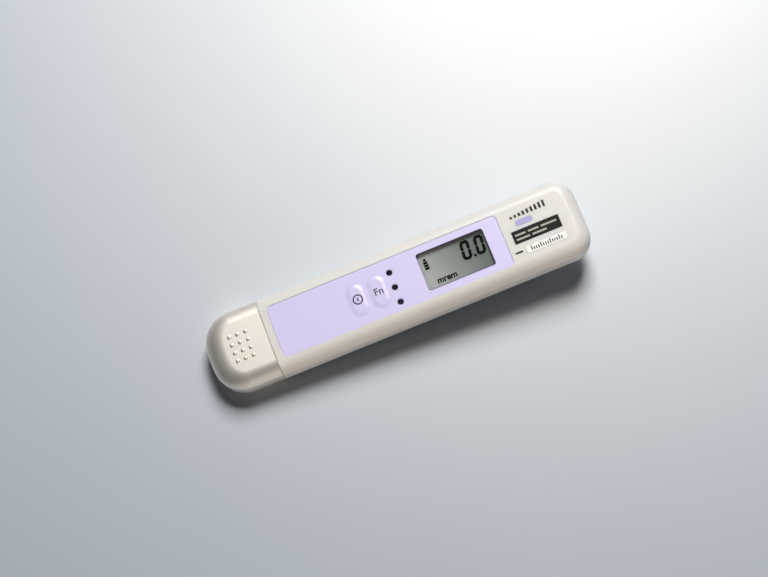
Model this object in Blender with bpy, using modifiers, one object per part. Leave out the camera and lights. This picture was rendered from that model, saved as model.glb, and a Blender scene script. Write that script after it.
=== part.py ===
"""Personal radiation dosimeter: a slim pocket instrument with a display case and a pull-off battery cap.

X runs along the case, with the battery cap at -X. Z leaves the display face, and the rear face looks down.
Heights in this file are measured from the rear face of the case. The empty called case_datum lifts them by
the stand-off of the pocket clip, so that z = 0 is the outer face of the clip.
"""

import math

import bmesh
import bpy
from mathutils import Matrix, Vector

# Case
CASE_LENGTH = 0.145
CASE_WIDTH = 0.030
CASE_THICKNESS = 0.012
SEAM_GAP = 0.0003
FRONT_EDGE_RADIUS = 0.005
REAR_EDGE_RADIUS = 0.003
FAR_CORNER_RADIUS = 0.008
WALL = 0.0015
ROOF = 0.002
CAVITY_ROOF_RADIUS = 0.0034
CAVITY_FLOOR_RADIUS = 0.002
PARTING_HEIGHT = 0.0055
PARTING_GAP = 0.00015
TONGUE_WALL = 0.0006
TONGUE_HEIGHT = 0.0008
TONGUE_FROM_SEAM = 0.002
RIB_THICKNESS = 0.0008
RIB_HEIGHT = 0.0013
RIB_PITCH = 0.010

# Clearances: SEAT lies between faces that rest on one another, FIT all round a piece that drops into a hole
SEAT = 0.0001
FIT = 0.00015

# Battery cap
CAP_PAST_CELL = 0.0033
CAP_END_FLAT = 0.007
CAP_CROWN_RADIUS = 0.040
CAP_EDGE_RADIUS = 0.0054
CAP_TOP_TRIM = 0.0004
CAP_WALL = 0.0019
LIP_REACH = 0.0036
LIP_ROOT = 0.002
LIP_WALL = 0.0011
NUB_COLUMNS = 3
NUB_ROWS = 4
NUB_PITCH = 0.00312
NUB_DIAMETER = 0.0016
NUB_HEIGHT = 0.0005
NUB_FROM_END = 0.0132
SEAL_WIDTH = 0.001
SEAL_FROM_SEAM = 0.0011
SEAL_GROOVE_DEPTH = 0.0006

# Front panel
PANEL_FROM_SEAM = 0.0031
PANEL_FROM_FAR_END = 0.0297
PANEL_SIDE_MARGIN = 0.0001
PANEL_THICKNESS = 0.0008
PANEL_SINK = 0.0002
PANEL_CORNER_RADIUS = 0.0014

# Display
DISPLAY_LENGTH = 0.0259
DISPLAY_SIDE_MARGIN = 0.0026
DISPLAY_CORNER_RADIUS = 0.001
DISPLAY_FROM_PANEL_END = 0.0059
WINDOW_MARGIN = 0.001
WINDOW_THICKNESS = 0.0009
GLASS_MARGIN = 0.0019
GLASS_THICKNESS = 0.0017
LCD_FRAME_WALL = 0.001
LCD_LEDGE = 0.0008
CONNECTOR_WIDTH = 0.002
CONNECTOR_END_GAP = 0.0015

# Sound holes and keys
SOUND_FROM_DISPLAY = 0.011
SOUND_HOLES = 3
SOUND_SIDE_MARGIN = 0.0041
SOUND_HOLE_DIAMETER = 0.0024
SOUND_OFFSET_Y = -0.001
MESH_MARGIN = 0.0008
MESH_THICKNESS = 0.0004
BUZZER_DIAMETER = 0.0094
BUZZER_FROM_SOUND = 0.0029
BUZZER_PORT_DIAMETER = 0.0018
BUZZER_PORT_DEPTH = 0.001
KEY_WIDTH = 0.0066
KEY_SIDE_MARGIN = 0.0037
KEY_PITCH = 0.00815
KEY_FROM_SOUND = 0.006
KEY_OFFSET_Y = -0.0004
KEY_RISE = 0.0002
KEY_DOME = 0.0006
KEY_DOME_SPREAD = 0.8
KEY_FLANGE = 0.00045
KEY_FLANGE_THICKNESS = 0.0007
KEY_TRAVEL = 0.0004
KEY_POST_DIAMETER = 0.0026
SWITCH_SIZE = 0.0052
SWITCH_HEIGHT = 0.0019
STEM_DIAMETER = 0.0028
STEM_DEPTH = 0.0009
STEM_RISE = 0.0006

# Circuit board and what it carries
BOARD_HEIGHT = 0.0045
BOARD_THICKNESS = 0.001
BOARD_EDGE_GAP = 0.0008
DETECTOR_LENGTH = 0.018
DETECTOR_SIDE_GAP = 0.00065
DETECTOR_THICKNESS = 0.0028
SHIELD_LENGTH = 0.022
SHIELD_FROM_BOSS = 0.0007
SHIELD_HEIGHT = 0.0039
SHIELD_WALL = 0.0004
SHIELD_FROM_FRAME = 0.0042
CONTROLLER_SIZE = 0.012
CONTROLLER_THICKNESS = 0.0014
MEMORY_LENGTH = 0.006
MEMORY_WIDTH = 0.005
MEMORY_THICKNESS = 0.0011
CRYSTAL_DIAMETER = 0.0021
CRYSTAL_LENGTH = 0.0062
CAPACITOR_LENGTH = 0.0073
CAPACITOR_WIDTH = 0.0043
CAPACITOR_THICKNESS = 0.0024
CAPACITOR_PITCH = 0.0065
CAPACITOR_FROM_SOUND = 0.0015

# Battery and its tray
CELL_THICKNESS = 0.0032
CELL_GAP = 0.0002
TRAY_WALL = 0.001
TRAY_FLOOR = 0.001
TRAY_FROM_LIP = 0.00025
TRAY_SIDE_GAP = 0.00105
TRAY_END_GAP = 0.0008
TRAY_EDGE_RADIUS = 0.0006
BULKHEAD_THICKNESS = 0.0018
CONTACT_WIDTH = 0.005
CONTACT_THICKNESS = 0.0003
CONTACT_SIDE = 0.004
CONTACT_REACH = 0.011
CONTACT_FOOT = 0.0028
CONTACT_BEND = 0.0006

# Screws of the case
SCREW_DIAMETER = 0.002
SCREW_HEAD_DIAMETER = 0.0038
SCREW_HEAD_HEIGHT = 0.0012
SCREW_HEAD_SINK = 0.0003
SCREW_SLOT_WIDTH = 0.0006
SCREW_BITE = 0.0026
BOSS_WALL = 0.0013
SCREW_FROM_SIDE = 0.0052
NEAR_SCREW_FROM_SEAM = 0.0127
FAR_SCREW_FROM_END = 0.0105

# Pocket clip
CLIP_THICKNESS = 0.0008
CLIP_GAP = 0.0044
CLIP_WIDTH = 0.009
CLIP_FROM_END = 0.0065
CLIP_ROOT_LENGTH = 0.0155
CLIP_STEP_LENGTH = 0.004
CLIP_LEG_LENGTH = 0.0215
CLIP_NOSE_LENGTH = 0.0085
CLIP_TIP_LENGTH = 0.004
CLIP_TIP_RISE = 0.0014
CLIP_BEND_RADIUS = 0.0012
CLIP_CORNER_RADIUS = 0.0035
CLIP_SCREW_PITCH = 0.007
CLIP_SCREW_LENGTH = 0.0036

# Fineness of the round stretches
CORNER_STEPS = 8
EDGE_STEPS = 6
DOME_STEPS = 5
ROUND_SIDES = 24
SCREW_SIDES = 16
SMALL_SIDES = 12
NUB_SIDES = 10

# Planes and places that follow from the sizes above
CAP_END_X = -CASE_LENGTH / 2
FAR_END_X = CASE_LENGTH / 2
CAP_CORNER_RADIUS = (CASE_WIDTH - CAP_END_FLAT) / 2
TRAY_HALF_WIDTH = CASE_WIDTH / 2 - WALL - FIT - LIP_WALL - TRAY_SIDE_GAP
CELL_DIAMETER = 2 * (TRAY_HALF_WIDTH - TRAY_WALL - CELL_GAP)
CAP_LENGTH = CELL_DIAMETER + CAP_PAST_CELL
SEAM_X = CAP_END_X + CAP_LENGTH
CASE_START_X = SEAM_X + SEAM_GAP / 2
CAP_STOP_X = SEAM_X - SEAM_GAP / 2
CAVITY_ROOF = CASE_THICKNESS - ROOF
PANEL_TOP = CASE_THICKNESS - PANEL_SINK
PANEL_UNDERSIDE = PANEL_TOP - PANEL_THICKNESS
RECESS_FLOOR = PANEL_UNDERSIDE - SEAT
PANEL_START_X = SEAM_X + PANEL_FROM_SEAM
PANEL_END_X = FAR_END_X - PANEL_FROM_FAR_END
PANEL_LENGTH = PANEL_END_X - PANEL_START_X
PANEL_WIDTH = CASE_WIDTH - 2 * (FRONT_EDGE_RADIUS + PANEL_SIDE_MARGIN)
DISPLAY_WIDTH = PANEL_WIDTH - 2 * DISPLAY_SIDE_MARGIN
KEY_LENGTH = PANEL_WIDTH - 2 * KEY_SIDE_MARGIN
SOUND_PITCH = (PANEL_WIDTH - 2 * SOUND_SIDE_MARGIN) / (SOUND_HOLES - 1)
DISPLAY_END_X = PANEL_END_X - DISPLAY_FROM_PANEL_END
DISPLAY_START_X = DISPLAY_END_X - DISPLAY_LENGTH
DISPLAY_X = (DISPLAY_START_X + DISPLAY_END_X) / 2
SOUND_X = DISPLAY_START_X - SOUND_FROM_DISPLAY
FUNCTION_KEY_X = SOUND_X - KEY_FROM_SOUND
POWER_KEY_X = FUNCTION_KEY_X - KEY_PITCH
BOARD_TOP = BOARD_HEIGHT + BOARD_THICKNESS
ON_BOARD = BOARD_TOP + SEAT
UNDER_BOARD = BOARD_HEIGHT - SEAT
UNDER_ROOF = CAVITY_ROOF - SEAT
SCREW_Y = CASE_WIDTH / 2 - SCREW_FROM_SIDE
BOSS_DIAMETER = SCREW_DIAMETER + 2 * BOSS_WALL
PILOT_DIAMETER = SCREW_DIAMETER + 2 * FIT
SHIELD_WIDTH = 2 * (SCREW_Y - SHIELD_FROM_BOSS) - BOSS_DIAMETER
DETECTOR_WIDTH = SHIELD_WIDTH - 2 * (SHIELD_WALL + DETECTOR_SIDE_GAP)
CLIP_STANDOFF = CLIP_GAP + CLIP_THICKNESS

parts = bpy.data.collections.new("radiation_dosimeter")
cutters = bpy.data.collections.new("dosimeter_cutters")


def clear_scene():
    for thing in list(bpy.data.objects):
        bpy.data.objects.remove(thing, do_unlink=True)
    bpy.context.scene.collection.children.link(parts)
    bpy.context.scene.collection.children.link(cutters)


def material(name, colour, roughness, metallic=0.0, transmission=0.0):
    """A plain surface: colour is linear red, green and blue."""
    made = bpy.data.materials.new(name)
    made.use_nodes = True
    made.diffuse_color = (*colour, 1.0)
    surface = made.node_tree.nodes["Principled BSDF"]
    surface.inputs["Base Color"].default_value = (*colour, 1.0)
    surface.inputs["Roughness"].default_value = roughness
    surface.inputs["Metallic"].default_value = metallic
    surface.inputs["Transmission Weight"].default_value = transmission
    return made


# Outlines: each function returns the points of one closed flat shape

def arc(centre, radius, start, end, steps=CORNER_STEPS):
    """Points on an arc between two angles in degrees, both ends included."""
    angles = [math.radians(start + (end - start) * i / steps) for i in range(steps + 1)]
    return [(centre[0] + radius * math.cos(a), centre[1] + radius * math.sin(a)) for a in angles]


def rounded_rectangle(x0, x1, y0, y1, radius, steps=4):
    points = arc((x1 - radius, y0 + radius), radius, -90, 0, steps)
    points += arc((x1 - radius, y1 - radius), radius, 0, 90, steps)
    points += arc((x0 + radius, y1 - radius), radius, 90, 180, steps)
    points += arc((x0 + radius, y0 + radius), radius, 180, 270, steps)
    return points


def rounded_end(square_x, round_x, half_width, radius, crown=None):
    """A bar in plan: square at square_x, with round corners at round_x and a bowed end if crown is given."""
    away = 1 if round_x > square_x else -1
    corner_y = half_width - radius
    if crown is None:
        reach, lean = abs(round_x - square_x) - radius, 0.0
    else:
        lean = math.asin(corner_y / (crown - radius))
        reach = abs(round_x - square_x) - crown + (crown - radius) * math.cos(lean)
    lower = arc((reach, -corner_y), radius, -90, -math.degrees(lean))
    upper = arc((reach, corner_y), radius, math.degrees(lean), 90)
    bow = []
    if crown is not None:
        centre = abs(round_x - square_x) - crown
        bow = arc((centre, 0.0), crown, -math.degrees(lean), math.degrees(lean), 4)[1:-1]
    points = [(0.0, -half_width)] + lower + bow + upper + [(0.0, half_width)]
    return [(square_x + away * x, y) for x, y in points]


def case_outline(inset, start_x):
    """The case in plan, from start_x to its far end, drawn inside its widest line by inset."""
    return rounded_end(start_x, FAR_END_X - inset, CASE_WIDTH / 2 - inset, FAR_CORNER_RADIUS - inset)


def cap_outline(inset, stop_x):
    return rounded_end(stop_x, CAP_END_X + inset, CASE_WIDTH / 2 - inset,
                       CAP_CORNER_RADIUS - inset, CAP_CROWN_RADIUS - inset)


def mouth_section(shrink):
    """The open mouth of the case across its width and height, made smaller all round by shrink."""
    half = CASE_WIDTH / 2 - WALL - shrink
    low = WALL + shrink
    high = CAVITY_ROOF - shrink
    floor_radius = CAVITY_FLOOR_RADIUS - shrink
    roof_radius = CAVITY_ROOF_RADIUS - shrink
    points = arc((half - floor_radius, low + floor_radius), floor_radius, -90, 0, EDGE_STEPS)
    points += arc((half - roof_radius, high - roof_radius), roof_radius, 0, 90, EDGE_STEPS)
    points += arc((-half + roof_radius, high - roof_radius), roof_radius, 90, 180, EDGE_STEPS)
    points += arc((-half + floor_radius, low + floor_radius), floor_radius, 180, 270, EDGE_STEPS)
    return points


def filleted(corners, radius, steps=4):
    """An open path through the corners, with each inner corner rounded."""
    path = [Vector(corners[0])]
    for before, corner, after in zip(corners, corners[1:], corners[2:]):
        corner = Vector(corner)
        back = (Vector(before) - corner).normalized()
        ahead = (Vector(after) - corner).normalized()
        half_angle = back.angle(ahead) / 2
        if math.pi / 2 - half_angle < 1e-3:
            path.append(corner)
            continue
        centre = corner + (back + ahead).normalized() * radius / math.sin(half_angle)
        first = corner + back * radius / math.tan(half_angle) - centre
        last = corner + ahead * radius / math.tan(half_angle) - centre
        sweep = first.angle_signed(last)
        for i in range(steps + 1):
            path.append(centre + Matrix.Rotation(-sweep * i / steps, 2) @ first)
    path.append(Vector(corners[-1]))
    return path


def strip_outline(path, thickness):
    """The edge view of a bent strip whose middle line is the path."""
    left, right = [], []
    for i, point in enumerate(path):
        before = (point - path[i - 1]).normalized() if i else None
        after = (path[i + 1] - point).normalized() if i + 1 < len(path) else None
        along = ((before or after) + (after or before)).normalized()
        across = Vector((-along.y, along.x))
        stretch = 1.0 if before is None or after is None else 1.0 / math.cos(before.angle(after) / 2)
        left.append(point + across * thickness / 2 * stretch)
        right.append(point - across * thickness / 2 * stretch)
    return [tuple(p) for p in left + right[::-1]]


# Solids

PLANES = {
    "XY": Matrix.Identity(4),
    "YZ": Matrix(((0, 0, 1, 0), (1, 0, 0, 0), (0, 1, 0, 0), (0, 0, 0, 1))),
    "XZ": Matrix(((1, 0, 0, 0), (0, 0, -1, 0), (0, 1, 0, 0), (0, 0, 0, 1))),
}


def outline_solid(name, points, low, high, plane="XY"):
    """A flat outline drawn in a plane and extruded across it, from low to high on the third axis."""
    curve = bpy.data.curves.new(name, "CURVE")
    curve.dimensions = "2D"
    curve.fill_mode = "BOTH"
    curve.extrude = (high - low) / 2
    spline = curve.splines.new("POLY")
    spline.points.add(len(points) - 1)
    spline.use_cyclic_u = True
    for knot, (x, y) in zip(spline.points, points):
        knot.co = (x, y, 0.0, 1.0)
    guide = bpy.data.objects.new(name, curve)
    parts.objects.link(guide)
    middle = (low + high) / 2 * (-1 if plane == "XZ" else 1)
    guide.matrix_world = PLANES[plane] @ Matrix.Translation((0, 0, middle))
    bpy.context.view_layer.update()
    evaluated = guide.evaluated_get(bpy.context.evaluated_depsgraph_get())
    mesh = bpy.data.meshes.new_from_object(evaluated)
    mesh.transform(guide.matrix_world)
    bpy.data.objects.remove(guide)
    bpy.data.curves.remove(curve)
    bm = bmesh.new()
    bm.from_mesh(mesh)
    bmesh.ops.remove_doubles(bm, verts=bm.verts, dist=1e-6)
    bmesh.ops.dissolve_limit(bm, angle_limit=math.radians(0.5), verts=bm.verts, edges=bm.edges)
    bmesh.ops.recalc_face_normals(bm, faces=bm.faces)
    bm.to_mesh(mesh)
    bm.free()
    made = bpy.data.objects.new(name, mesh)
    parts.objects.link(made)
    return made


def box(name, x, y, z):
    """A block between pairs of limits along each axis."""
    bm = bmesh.new()
    bmesh.ops.create_cube(bm, size=1.0)
    size = Matrix.Diagonal((x[1] - x[0], y[1] - y[0], z[1] - z[0], 1.0))
    centre = Vector(((x[0] + x[1]) / 2, (y[0] + y[1]) / 2, (z[0] + z[1]) / 2))
    bmesh.ops.transform(bm, matrix=Matrix.Translation(centre) @ size, verts=bm.verts)
    return mesh_object(name, bm)


def plate(name, centre, size, z, radius=None):
    """A flat piece centred on a point in plan, with round corners if a radius is given."""
    x = (centre[0] - size[0] / 2, centre[0] + size[0] / 2)
    y = (centre[1] - size[1] / 2, centre[1] + size[1] / 2)
    if radius is None:
        return box(name, x, y, z)
    return outline_solid(name, rounded_rectangle(*x, *y, radius), *z)


def stadium(name, centre, width, length, z):
    """A plate with fully round ends, longer along Y."""
    reach = (length - width) / 2
    points = arc((centre[0], centre[1] - reach), width / 2, 180, 360, 2 * CORNER_STEPS)
    points += arc((centre[0], centre[1] + reach), width / 2, 0, 180, 2 * CORNER_STEPS)
    return outline_solid(name, points, *z)


def cylinder(name, centre, diameter, z, sides=ROUND_SIDES):
    bm = bmesh.new()
    place = Matrix.Translation((centre[0], centre[1], (z[0] + z[1]) / 2))
    bmesh.ops.create_cone(bm, cap_ends=True, segments=sides, radius1=diameter / 2,
                          radius2=diameter / 2, depth=z[1] - z[0], matrix=place)
    return mesh_object(name, bm)


def turned(name, profile, steps):
    """A revolved piece: the profile is (radius, height) pairs, run from its top down its outer side."""
    mesh = bpy.data.meshes.new(name)
    bm = bmesh.new()
    verts = [bm.verts.new((radius, 0.0, height)) for radius, height in profile]
    for upper, lower in zip(verts, verts[1:]):
        bm.edges.new((upper, lower))
    bm.to_mesh(mesh)
    bm.free()
    made = bpy.data.objects.new(name, mesh)
    parts.objects.link(made)
    screw = made.modifiers.new("Turn", "SCREW")
    screw.steps = steps
    screw.render_steps = steps
    screw.use_merge_vertices = True
    screw.merge_threshold = 1e-6
    return made


def mesh_object(name, bm):
    mesh = bpy.data.meshes.new(name)
    bm.to_mesh(mesh)
    bm.free()
    made = bpy.data.objects.new(name, mesh)
    parts.objects.link(made)
    return made


def round_rim(solid, height, radius, spare_x=None, steps=EDGE_STEPS):
    """Rounds the outer edges that lie at one height, but not those on the plane x = spare_x."""
    bm = bmesh.new()
    bm.from_mesh(solid.data)

    def on_rim(edge):
        level = all(abs(v.co.z - height) < 1e-6 for v in edge.verts)
        spared = spare_x is not None and all(abs(v.co.x - spare_x) < 1e-6 for v in edge.verts)
        return level and not spared

    rim = [edge for edge in bm.edges if on_rim(edge)]
    bmesh.ops.bevel(bm, geom=rim, offset=radius, offset_type="OFFSET", segments=steps,
                    profile=0.5, affect="EDGES")
    bm.to_mesh(solid.data)
    bm.free()


def combine(target, tool, operation):
    """Cuts or joins tool, which becomes a hidden guide, with the target."""
    change = target.modifiers.new(tool.name, "BOOLEAN")
    change.operation = operation
    change.solver = "EXACT"
    change.object = tool
    if tool.name not in cutters.objects:
        parts.objects.unlink(tool)
        cutters.objects.link(tool)
        tool.parent = datum
        tool.hide_render = True
        tool.display_type = "WIRE"


def cut(target, *tools):
    for tool in tools:
        combine(target, tool, "DIFFERENCE")


def join(target, *tools):
    for tool in tools:
        combine(target, tool, "UNION")


def finish(piece, surface, origin=None):
    """Gives a piece its surface and its place under the datum. A moving piece's origin goes onto its axis."""
    piece.data.materials.clear()
    piece.data.materials.append(surface)
    piece.data.shade_smooth()
    piece.data.set_sharp_from_angle(angle=math.radians(32))
    if origin is not None:
        piece.data.transform(Matrix.Translation(-Vector(origin)))
        piece.location = origin
    piece.parent = datum
    return piece


clear_scene()
datum = bpy.data.objects.new("case_datum", None)
parts.objects.link(datum)
datum.location.z = CLIP_STANDOFF

ivory = material("ivory_plastic", (0.78, 0.75, 0.66), 0.4)
lavender = material("lavender_panel", (0.62, 0.56, 0.82), 0.45)
silver = material("silver_paint", (0.68, 0.66, 0.62), 0.35, 0.6)
clear = material("clear_window", (0.9, 0.92, 0.9), 0.05, 0.0, 0.9)
lcd = material("lcd_grey_green", (0.27, 0.30, 0.25), 0.2)
black = material("black_plastic", (0.02, 0.02, 0.025), 0.5)
white = material("white_plastic", (0.75, 0.75, 0.74), 0.5)
rubber = material("dark_rubber", (0.03, 0.03, 0.03), 0.8)
steel = material("steel", (0.6, 0.6, 0.6), 0.3, 1.0)
tin = material("tinned_metal", (0.72, 0.71, 0.68), 0.35, 1.0)
board_green = material("board_green", (0.02, 0.16, 0.06), 0.5)
tantalum = material("capacitor_yellow", (0.6, 0.35, 0.05), 0.5)

screw_places = [
    (x, y)
    for x in (SEAM_X + NEAR_SCREW_FROM_SEAM, FAR_END_X - FAR_SCREW_FROM_END)
    for y in (-SCREW_Y, SCREW_Y)
]
clip_root_x = FAR_END_X - CLIP_FROM_END
clip_screw_middle = clip_root_x - CLIP_ROOT_LENGTH / 2
clip_screw_places = [
    (clip_screw_middle + side * CLIP_SCREW_PITCH / 2, 0.0) for side in (-1, 1)
]
key_places = {
    "power": (POWER_KEY_X, KEY_OFFSET_Y),
    "function": (FUNCTION_KEY_X, KEY_OFFSET_Y),
}


def sound_hole_cutter(name):
    """The row of sound holes as one tool of separate pins."""
    bm = bmesh.new()
    first = SOUND_OFFSET_Y - SOUND_PITCH * (SOUND_HOLES - 1) / 2
    for i in range(SOUND_HOLES):
        middle = (CAVITY_ROOF + CASE_THICKNESS) / 2
        place = Matrix.Translation((SOUND_X, first + SOUND_PITCH * i, middle))
        bmesh.ops.create_cone(bm, cap_ends=True, segments=ROUND_SIDES, radius1=SOUND_HOLE_DIAMETER / 2,
                              radius2=SOUND_HOLE_DIAMETER / 2, depth=2 * ROOF, matrix=place)
    return mesh_object(name, bm)


def cavity(name, low, high, rim_height, rim_radius):
    """The hollow of the case, open past the seam."""
    start = CASE_START_X - WALL
    hollow = outline_solid(name, case_outline(WALL, start), low, high)
    round_rim(hollow, rim_height, rim_radius, spare_x=start)
    return hollow


def make_front_case(key_holes, sound_holes):
    low = PARTING_HEIGHT + PARTING_GAP / 2
    shell = outline_solid("front_case", case_outline(0.0, CASE_START_X), low, CASE_THICKNESS)
    round_rim(shell, CASE_THICKNESS, FRONT_EDGE_RADIUS, spare_x=CASE_START_X)
    rebate_outline = case_outline(WALL - TONGUE_WALL - FIT, CASE_START_X + TONGUE_FROM_SEAM - FIT)
    cut(shell, outline_solid("tongue_rebate", rebate_outline, low - WALL,
                             PARTING_HEIGHT + TONGUE_HEIGHT + SEAT))
    cut(shell, cavity("front_cavity", low - WALL, CAVITY_ROOF, CAVITY_ROOF, CAVITY_ROOF_RADIUS))
    for i, place in enumerate(screw_places):
        join(shell, cylinder(f"front_boss_{i}", place, BOSS_DIAMETER, (ON_BOARD, CAVITY_ROOF + ROOF / 4)))
    pilot_top = ON_BOARD + SCREW_BITE + SCREW_DIAMETER / 4
    for i, place in enumerate(screw_places):
        cut(shell, cylinder(f"front_pilot_{i}", place, PILOT_DIAMETER, (low - WALL, pilot_top), SMALL_SIDES))
    panel_x = (PANEL_START_X + PANEL_END_X) / 2
    recess_size = (PANEL_LENGTH + 2 * FIT, PANEL_WIDTH + 2 * FIT)
    cut(shell, plate("panel_recess", (panel_x, 0.0), recess_size,
                     (RECESS_FLOOR, CASE_THICKNESS + ROOF), PANEL_CORNER_RADIUS + FIT))
    margin = 2 * (WINDOW_MARGIN + FIT)
    cut(shell, plate("window_hole", (DISPLAY_X, 0.0), (DISPLAY_LENGTH + margin, DISPLAY_WIDTH + margin),
                     (CAVITY_ROOF - ROOF, CASE_THICKNESS), DISPLAY_CORNER_RADIUS + WINDOW_MARGIN + FIT))
    cut(shell, *key_holes, sound_holes)
    return finish(shell, ivory)


def floor_ribs():
    """Two ribs run between the screw bosses, and cross ribs tie them where no component hangs."""
    x = [place[0] for place in screw_places]
    z = (WALL / 2, WALL + RIB_HEIGHT)
    outer_y = SCREW_Y - SCREW_HEAD_DIAMETER / 2 - 2 * FIT
    inner_y = outer_y - RIB_THICKNESS
    ribs = [
        box("rib_lower", (min(x), max(x)), (-outer_y, -inner_y), z),
        box("rib_upper", (min(x), max(x)), (inner_y, outer_y), z),
    ]
    for i, middle in enumerate((POWER_KEY_X, DISPLAY_END_X, DISPLAY_END_X + RIB_PITCH)):
        sides = (middle - RIB_THICKNESS / 2, middle + RIB_THICKNESS / 2)
        middle_y = outer_y - RIB_THICKNESS / 2
        ribs.append(box(f"cross_rib_{i}", sides, (-middle_y, middle_y), z))
    return ribs


def make_rear_case():
    high = PARTING_HEIGHT - PARTING_GAP / 2
    shell = outline_solid("rear_case", case_outline(0.0, CASE_START_X), 0.0, high)
    round_rim(shell, 0.0, REAR_EDGE_RADIUS, spare_x=CASE_START_X)
    tongue_outline = case_outline(WALL - TONGUE_WALL, CASE_START_X + TONGUE_FROM_SEAM)
    tongue_top = PARTING_HEIGHT + TONGUE_HEIGHT
    join(shell, outline_solid("tongue", tongue_outline, high - WALL, tongue_top))
    cut(shell, cavity("rear_cavity", WALL, tongue_top + WALL, WALL, CAVITY_FLOOR_RADIUS))
    join(shell, *floor_ribs())
    for i, place in enumerate(screw_places):
        join(shell, cylinder(f"rear_boss_{i}", place, SCREW_HEAD_DIAMETER + 2 * BOSS_WALL,
                             (WALL / 2, UNDER_BOARD)))
    for i, place in enumerate(screw_places):
        cut(shell, cylinder(f"screw_hole_{i}", place, PILOT_DIAMETER, (-WALL, high + WALL), SMALL_SIDES))
        cut(shell, cylinder(f"head_recess_{i}", place, SCREW_HEAD_DIAMETER + 2 * FIT,
                            (-WALL, SCREW_HEAD_SINK + SCREW_HEAD_HEIGHT + SEAT)))
    for i, place in enumerate(clip_screw_places):
        join(shell, cylinder(f"clip_boss_{i}", place, BOSS_DIAMETER, (WALL / 2, UNDER_BOARD)))
    for i, place in enumerate(clip_screw_places):
        cut(shell, cylinder(f"clip_pilot_{i}", place, PILOT_DIAMETER,
                            (-WALL, CLIP_SCREW_LENGTH - CLIP_THICKNESS), SMALL_SIDES))
    return finish(shell, ivory)


def make_front_panel(key_holes, sound_holes):
    panel_x = (PANEL_START_X + PANEL_END_X) / 2
    sheet = plate("front_panel", (panel_x, 0.0), (PANEL_LENGTH, PANEL_WIDTH),
                  (PANEL_UNDERSIDE, PANEL_TOP), PANEL_CORNER_RADIUS)
    cut(sheet, plate("display_opening", (DISPLAY_X, 0.0), (DISPLAY_LENGTH, DISPLAY_WIDTH),
                     (CAVITY_ROOF, CASE_THICKNESS + ROOF), DISPLAY_CORNER_RADIUS))
    cut(sheet, *key_holes, sound_holes)
    return finish(sheet, lavender)


def key_hole(name, place):
    return stadium(name, place, KEY_WIDTH + 2 * FIT, KEY_LENGTH + 2 * FIT,
                   (CAVITY_ROOF - ROOF, CASE_THICKNESS + ROOF))


def make_key(name, place):
    """A domed stadium that a flange under the case roof keeps in, with a post that meets the switch stem."""
    flange_top = UNDER_ROOF
    flange_low = flange_top - KEY_FLANGE_THICKNESS
    side_top = PANEL_TOP + KEY_RISE
    pad = stadium(name, place, KEY_WIDTH, KEY_LENGTH, (flange_top - KEY_FLANGE_THICKNESS / 2, side_top))
    bm = bmesh.new()
    bm.from_mesh(pad.data)
    bm.faces.ensure_lookup_table()
    top = max(bm.faces, key=lambda face: face.calc_center_median().z)
    reach = KEY_DOME_SPREAD * KEY_WIDTH / 2
    for i in range(DOME_STEPS):
        before = math.radians(90 * i / DOME_STEPS)
        after = math.radians(90 * (i + 1) / DOME_STEPS)
        bmesh.ops.inset_region(bm, faces=[top], use_even_offset=True,
                               thickness=reach * (math.cos(before) - math.cos(after)),
                               depth=KEY_DOME * (math.sin(after) - math.sin(before)))
    bm.to_mesh(pad.data)
    bm.free()
    join(pad, stadium(f"{name}_flange", place, KEY_WIDTH + 2 * KEY_FLANGE, KEY_LENGTH + 2 * KEY_FLANGE,
                      (flange_low, flange_top)))
    stem_top = ON_BOARD + SWITCH_HEIGHT + STEM_RISE
    join(pad, cylinder(f"{name}_post", place, KEY_POST_DIAMETER,
                       (stem_top + SEAT, flange_low + KEY_FLANGE_THICKNESS / 2)))
    return finish(pad, lavender, (*place, PANEL_TOP))


def make_switch(name, place):
    """A tact switch on the board: its body, and the round stem that the key presses into it."""
    top = ON_BOARD + SWITCH_HEIGHT
    body = plate(f"{name}_switch", place, (SWITCH_SIZE, SWITCH_SIZE), (ON_BOARD, top))
    cut(body, cylinder(f"{name}_switch_bore", place, STEM_DIAMETER + 2 * FIT,
                       (top - STEM_DEPTH, top + STEM_DEPTH)))
    finish(body, black)
    stem_low = top - STEM_DEPTH + KEY_TRAVEL + SEAT
    stem = cylinder(f"{name}_switch_stem", place, STEM_DIAMETER, (stem_low, top + STEM_RISE))
    finish(stem, white, (*place, top))


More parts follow.
